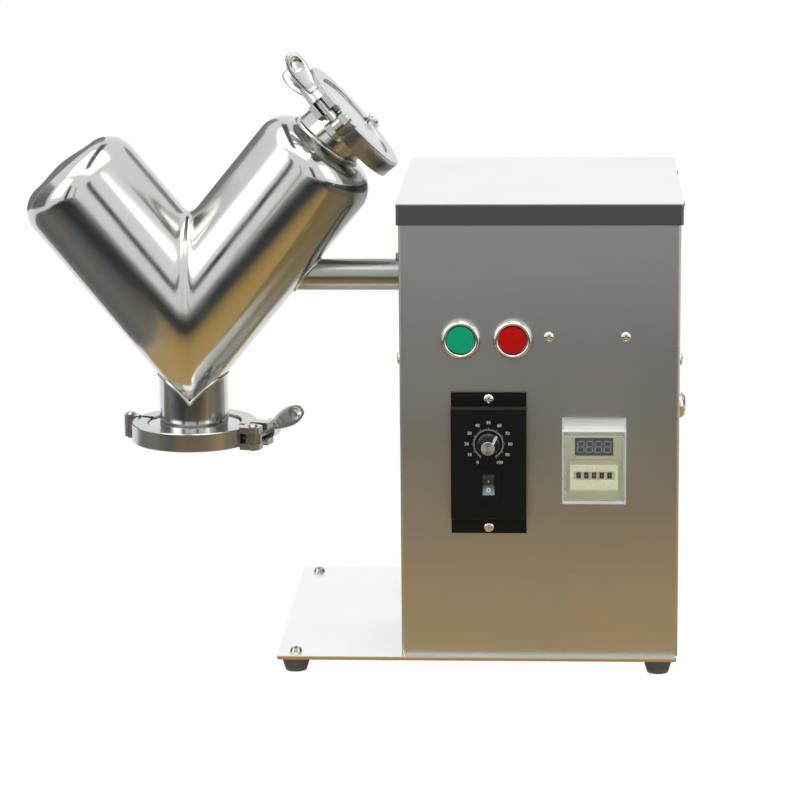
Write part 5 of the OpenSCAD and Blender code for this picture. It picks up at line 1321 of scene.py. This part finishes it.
def wingShape(n, place):
    # cast wing: a thick bent blade with a round tip and a thumb hollow on its outer face
    points, rings, around, soft = [], n["rings"], n["around"], n["squareness"]
    for i in range(rings + 1):
        share = 1 - (1 - i / rings) ** 1.6   # rings crowd towards the tip
        here = alongLine(n["line"], share)
        ahead = alongLine(n["line"], min(1, share + 0.01)) - alongLine(n["line"], max(0, share - 0.01))
        ahead.normalize()
        out = Vector((ahead.y, -ahead.x))
        widen = min(1, share / n["fullWidthAt"]) ** 1.3
        half = (n["rootWidth"] + (n["width"] - n["rootWidth"]) * widen) / 2
        thick = n["thickness"] / 2
        if share > n["tipFrom"]:
            fall = (share - n["tipFrom"]) / (1 - n["tipFrom"])
            half *= math.sqrt(max(0.0, 1 - fall * fall)) * 0.97 + 0.03
            thick *= math.sqrt(max(0.0, 1 - fall ** 6)) * 0.9 + 0.1
        for k in range(around):
            a = 2 * math.pi * k / around
            c, s = math.cos(a), math.sin(a)
            across = half * math.copysign(abs(c) ** soft, c)
            rise = thick * math.copysign(abs(s) ** soft, s)
            if rise > 0:
                hollow = 1 - ((share - n["dentAt"]) / n["dentLong"]) ** 2
                hollow -= (across / (n["dentWide"] * n["width"])) ** 2
                if hollow > 0:
                    rise -= n["dentDepth"] * min(1, 1.8 * hollow)
            spot = here + out * rise
            points.append(place @ Vector((spot.x, across, spot.y)))
    return points, ringFaces(rings + 1, around, capped=True)


def makeWingNut(n, port):
    place = nutPlace(n, port)
    rounding = n["hubRound"]
    hub = [(n["bore"], 0), (n["footRadius"], 0), (n["footRadius"], n["footHeight"]),
           (n["hubRadius"], n["neckHeight"])]
    hub += ovalArc((n["hubRadius"] - rounding, n["hubHeight"] - rounding), (rounding, rounding), 0, 90, 6)
    hub += [(n["bore"], n["hubHeight"])]
    points, faces = latheShape(hub, place, n["hubSteps"], closed=True)
    for turn in (0, math.pi):
        addPart(points, faces, *wingShape(n, place @ Matrix.Rotation(turn, 4, "Z")))
    piece = makePiece(port + "WingNut", points, faces, castSteel, port + "_nut", "cast_steel", crease=80)
    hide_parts(port + "_wing_nut")


makeWingNut(wingNut, "outlet")
makeWingNut(wingNut, "inlet")
print("wing nuts made")

inletNeck = {
    "bore": 26.75,
    "radius": 28.75,
    "flangeRadius": 44.0,
    "collarRadius": 38.0,
    "gasketHalf": 1.0,
    "rimHalf": 3.85,
    "slope": 2.18,
    "fillet": 1.2,
    "length": 30.5,
    "weldRadius": 2.8,
    "weldBetween": (8.0, 34.0),   # depths between which the weld is searched
    "weldSteps": 120,
    "weldSides": 16,
    "halvings": 30,
    "steps": 128,
}


def weldDepth(n, v, port, toArm, x, y):
    # how deep a line along the neck's wall runs until it meets the arm's closed end
    flat = v["radius"] - v["shoulder"]
    low, high = (depth / 1000 for depth in n["weldBetween"])
    for i in range(n["halvings"]):
        depth = (low + high) / 2
        spot = toArm @ (port @ Vector((x, y, depth)))
        far = math.hypot(spot.x, spot.y)
        if far < flat:
            top = crownTop(v, v["rightLength"], far / flat)
        else:
            bend = math.sqrt(max(0, v["shoulder"] ** 2 - (far - flat) ** 2))
            top = v["rightLength"] - v["crown"] - v["shoulder"] + bend
        if spot.z > top:
            low = depth
        else:
            high = depth
    return (low + high) / 2


def makeInletNeck(n, v):
    # ferrule with a tapered flange, welded to the arm's end
    port = portPlace(v, "inlet")
    step, fillet = n["rimHalf"] + n["slope"], n["fillet"]
    profile = [(n["bore"], n["gasketHalf"]), (n["flangeRadius"], n["gasketHalf"]),
               (n["flangeRadius"], n["rimHalf"]), (n["collarRadius"], step)]
    profile += ovalArc((n["radius"] + fillet, step + fillet), (fillet, fillet), 270, 180, 5)
    profile += [(n["radius"], n["length"]), (n["bore"], n["length"])]
    points, faces = latheShape(profile, port @ Matrix.Scale(0.001, 4), n["steps"], closed=True)
    toArm = armPlace(v).inverted()
    line = []
    for k in range(n["weldSteps"]):
        a = 2 * math.pi * k / n["weldSteps"]
        x, y = n["radius"] / 1000 * math.cos(a), n["radius"] / 1000 * math.sin(a)
        line.append(port @ Vector((x, y, weldDepth(n, v, port, toArm, x, y))))
    addPart(points, faces, *sweepShape(line, n["weldRadius"] / 1000, n["weldSides"]))
    piece = makePiece("inletNeck", points, faces, mirrorBuffed, "vessel", "mirror_steel", crease=35)
    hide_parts("inlet_neck")


makeInletNeck(inletNeck, vessel)
print("inlet neck made")
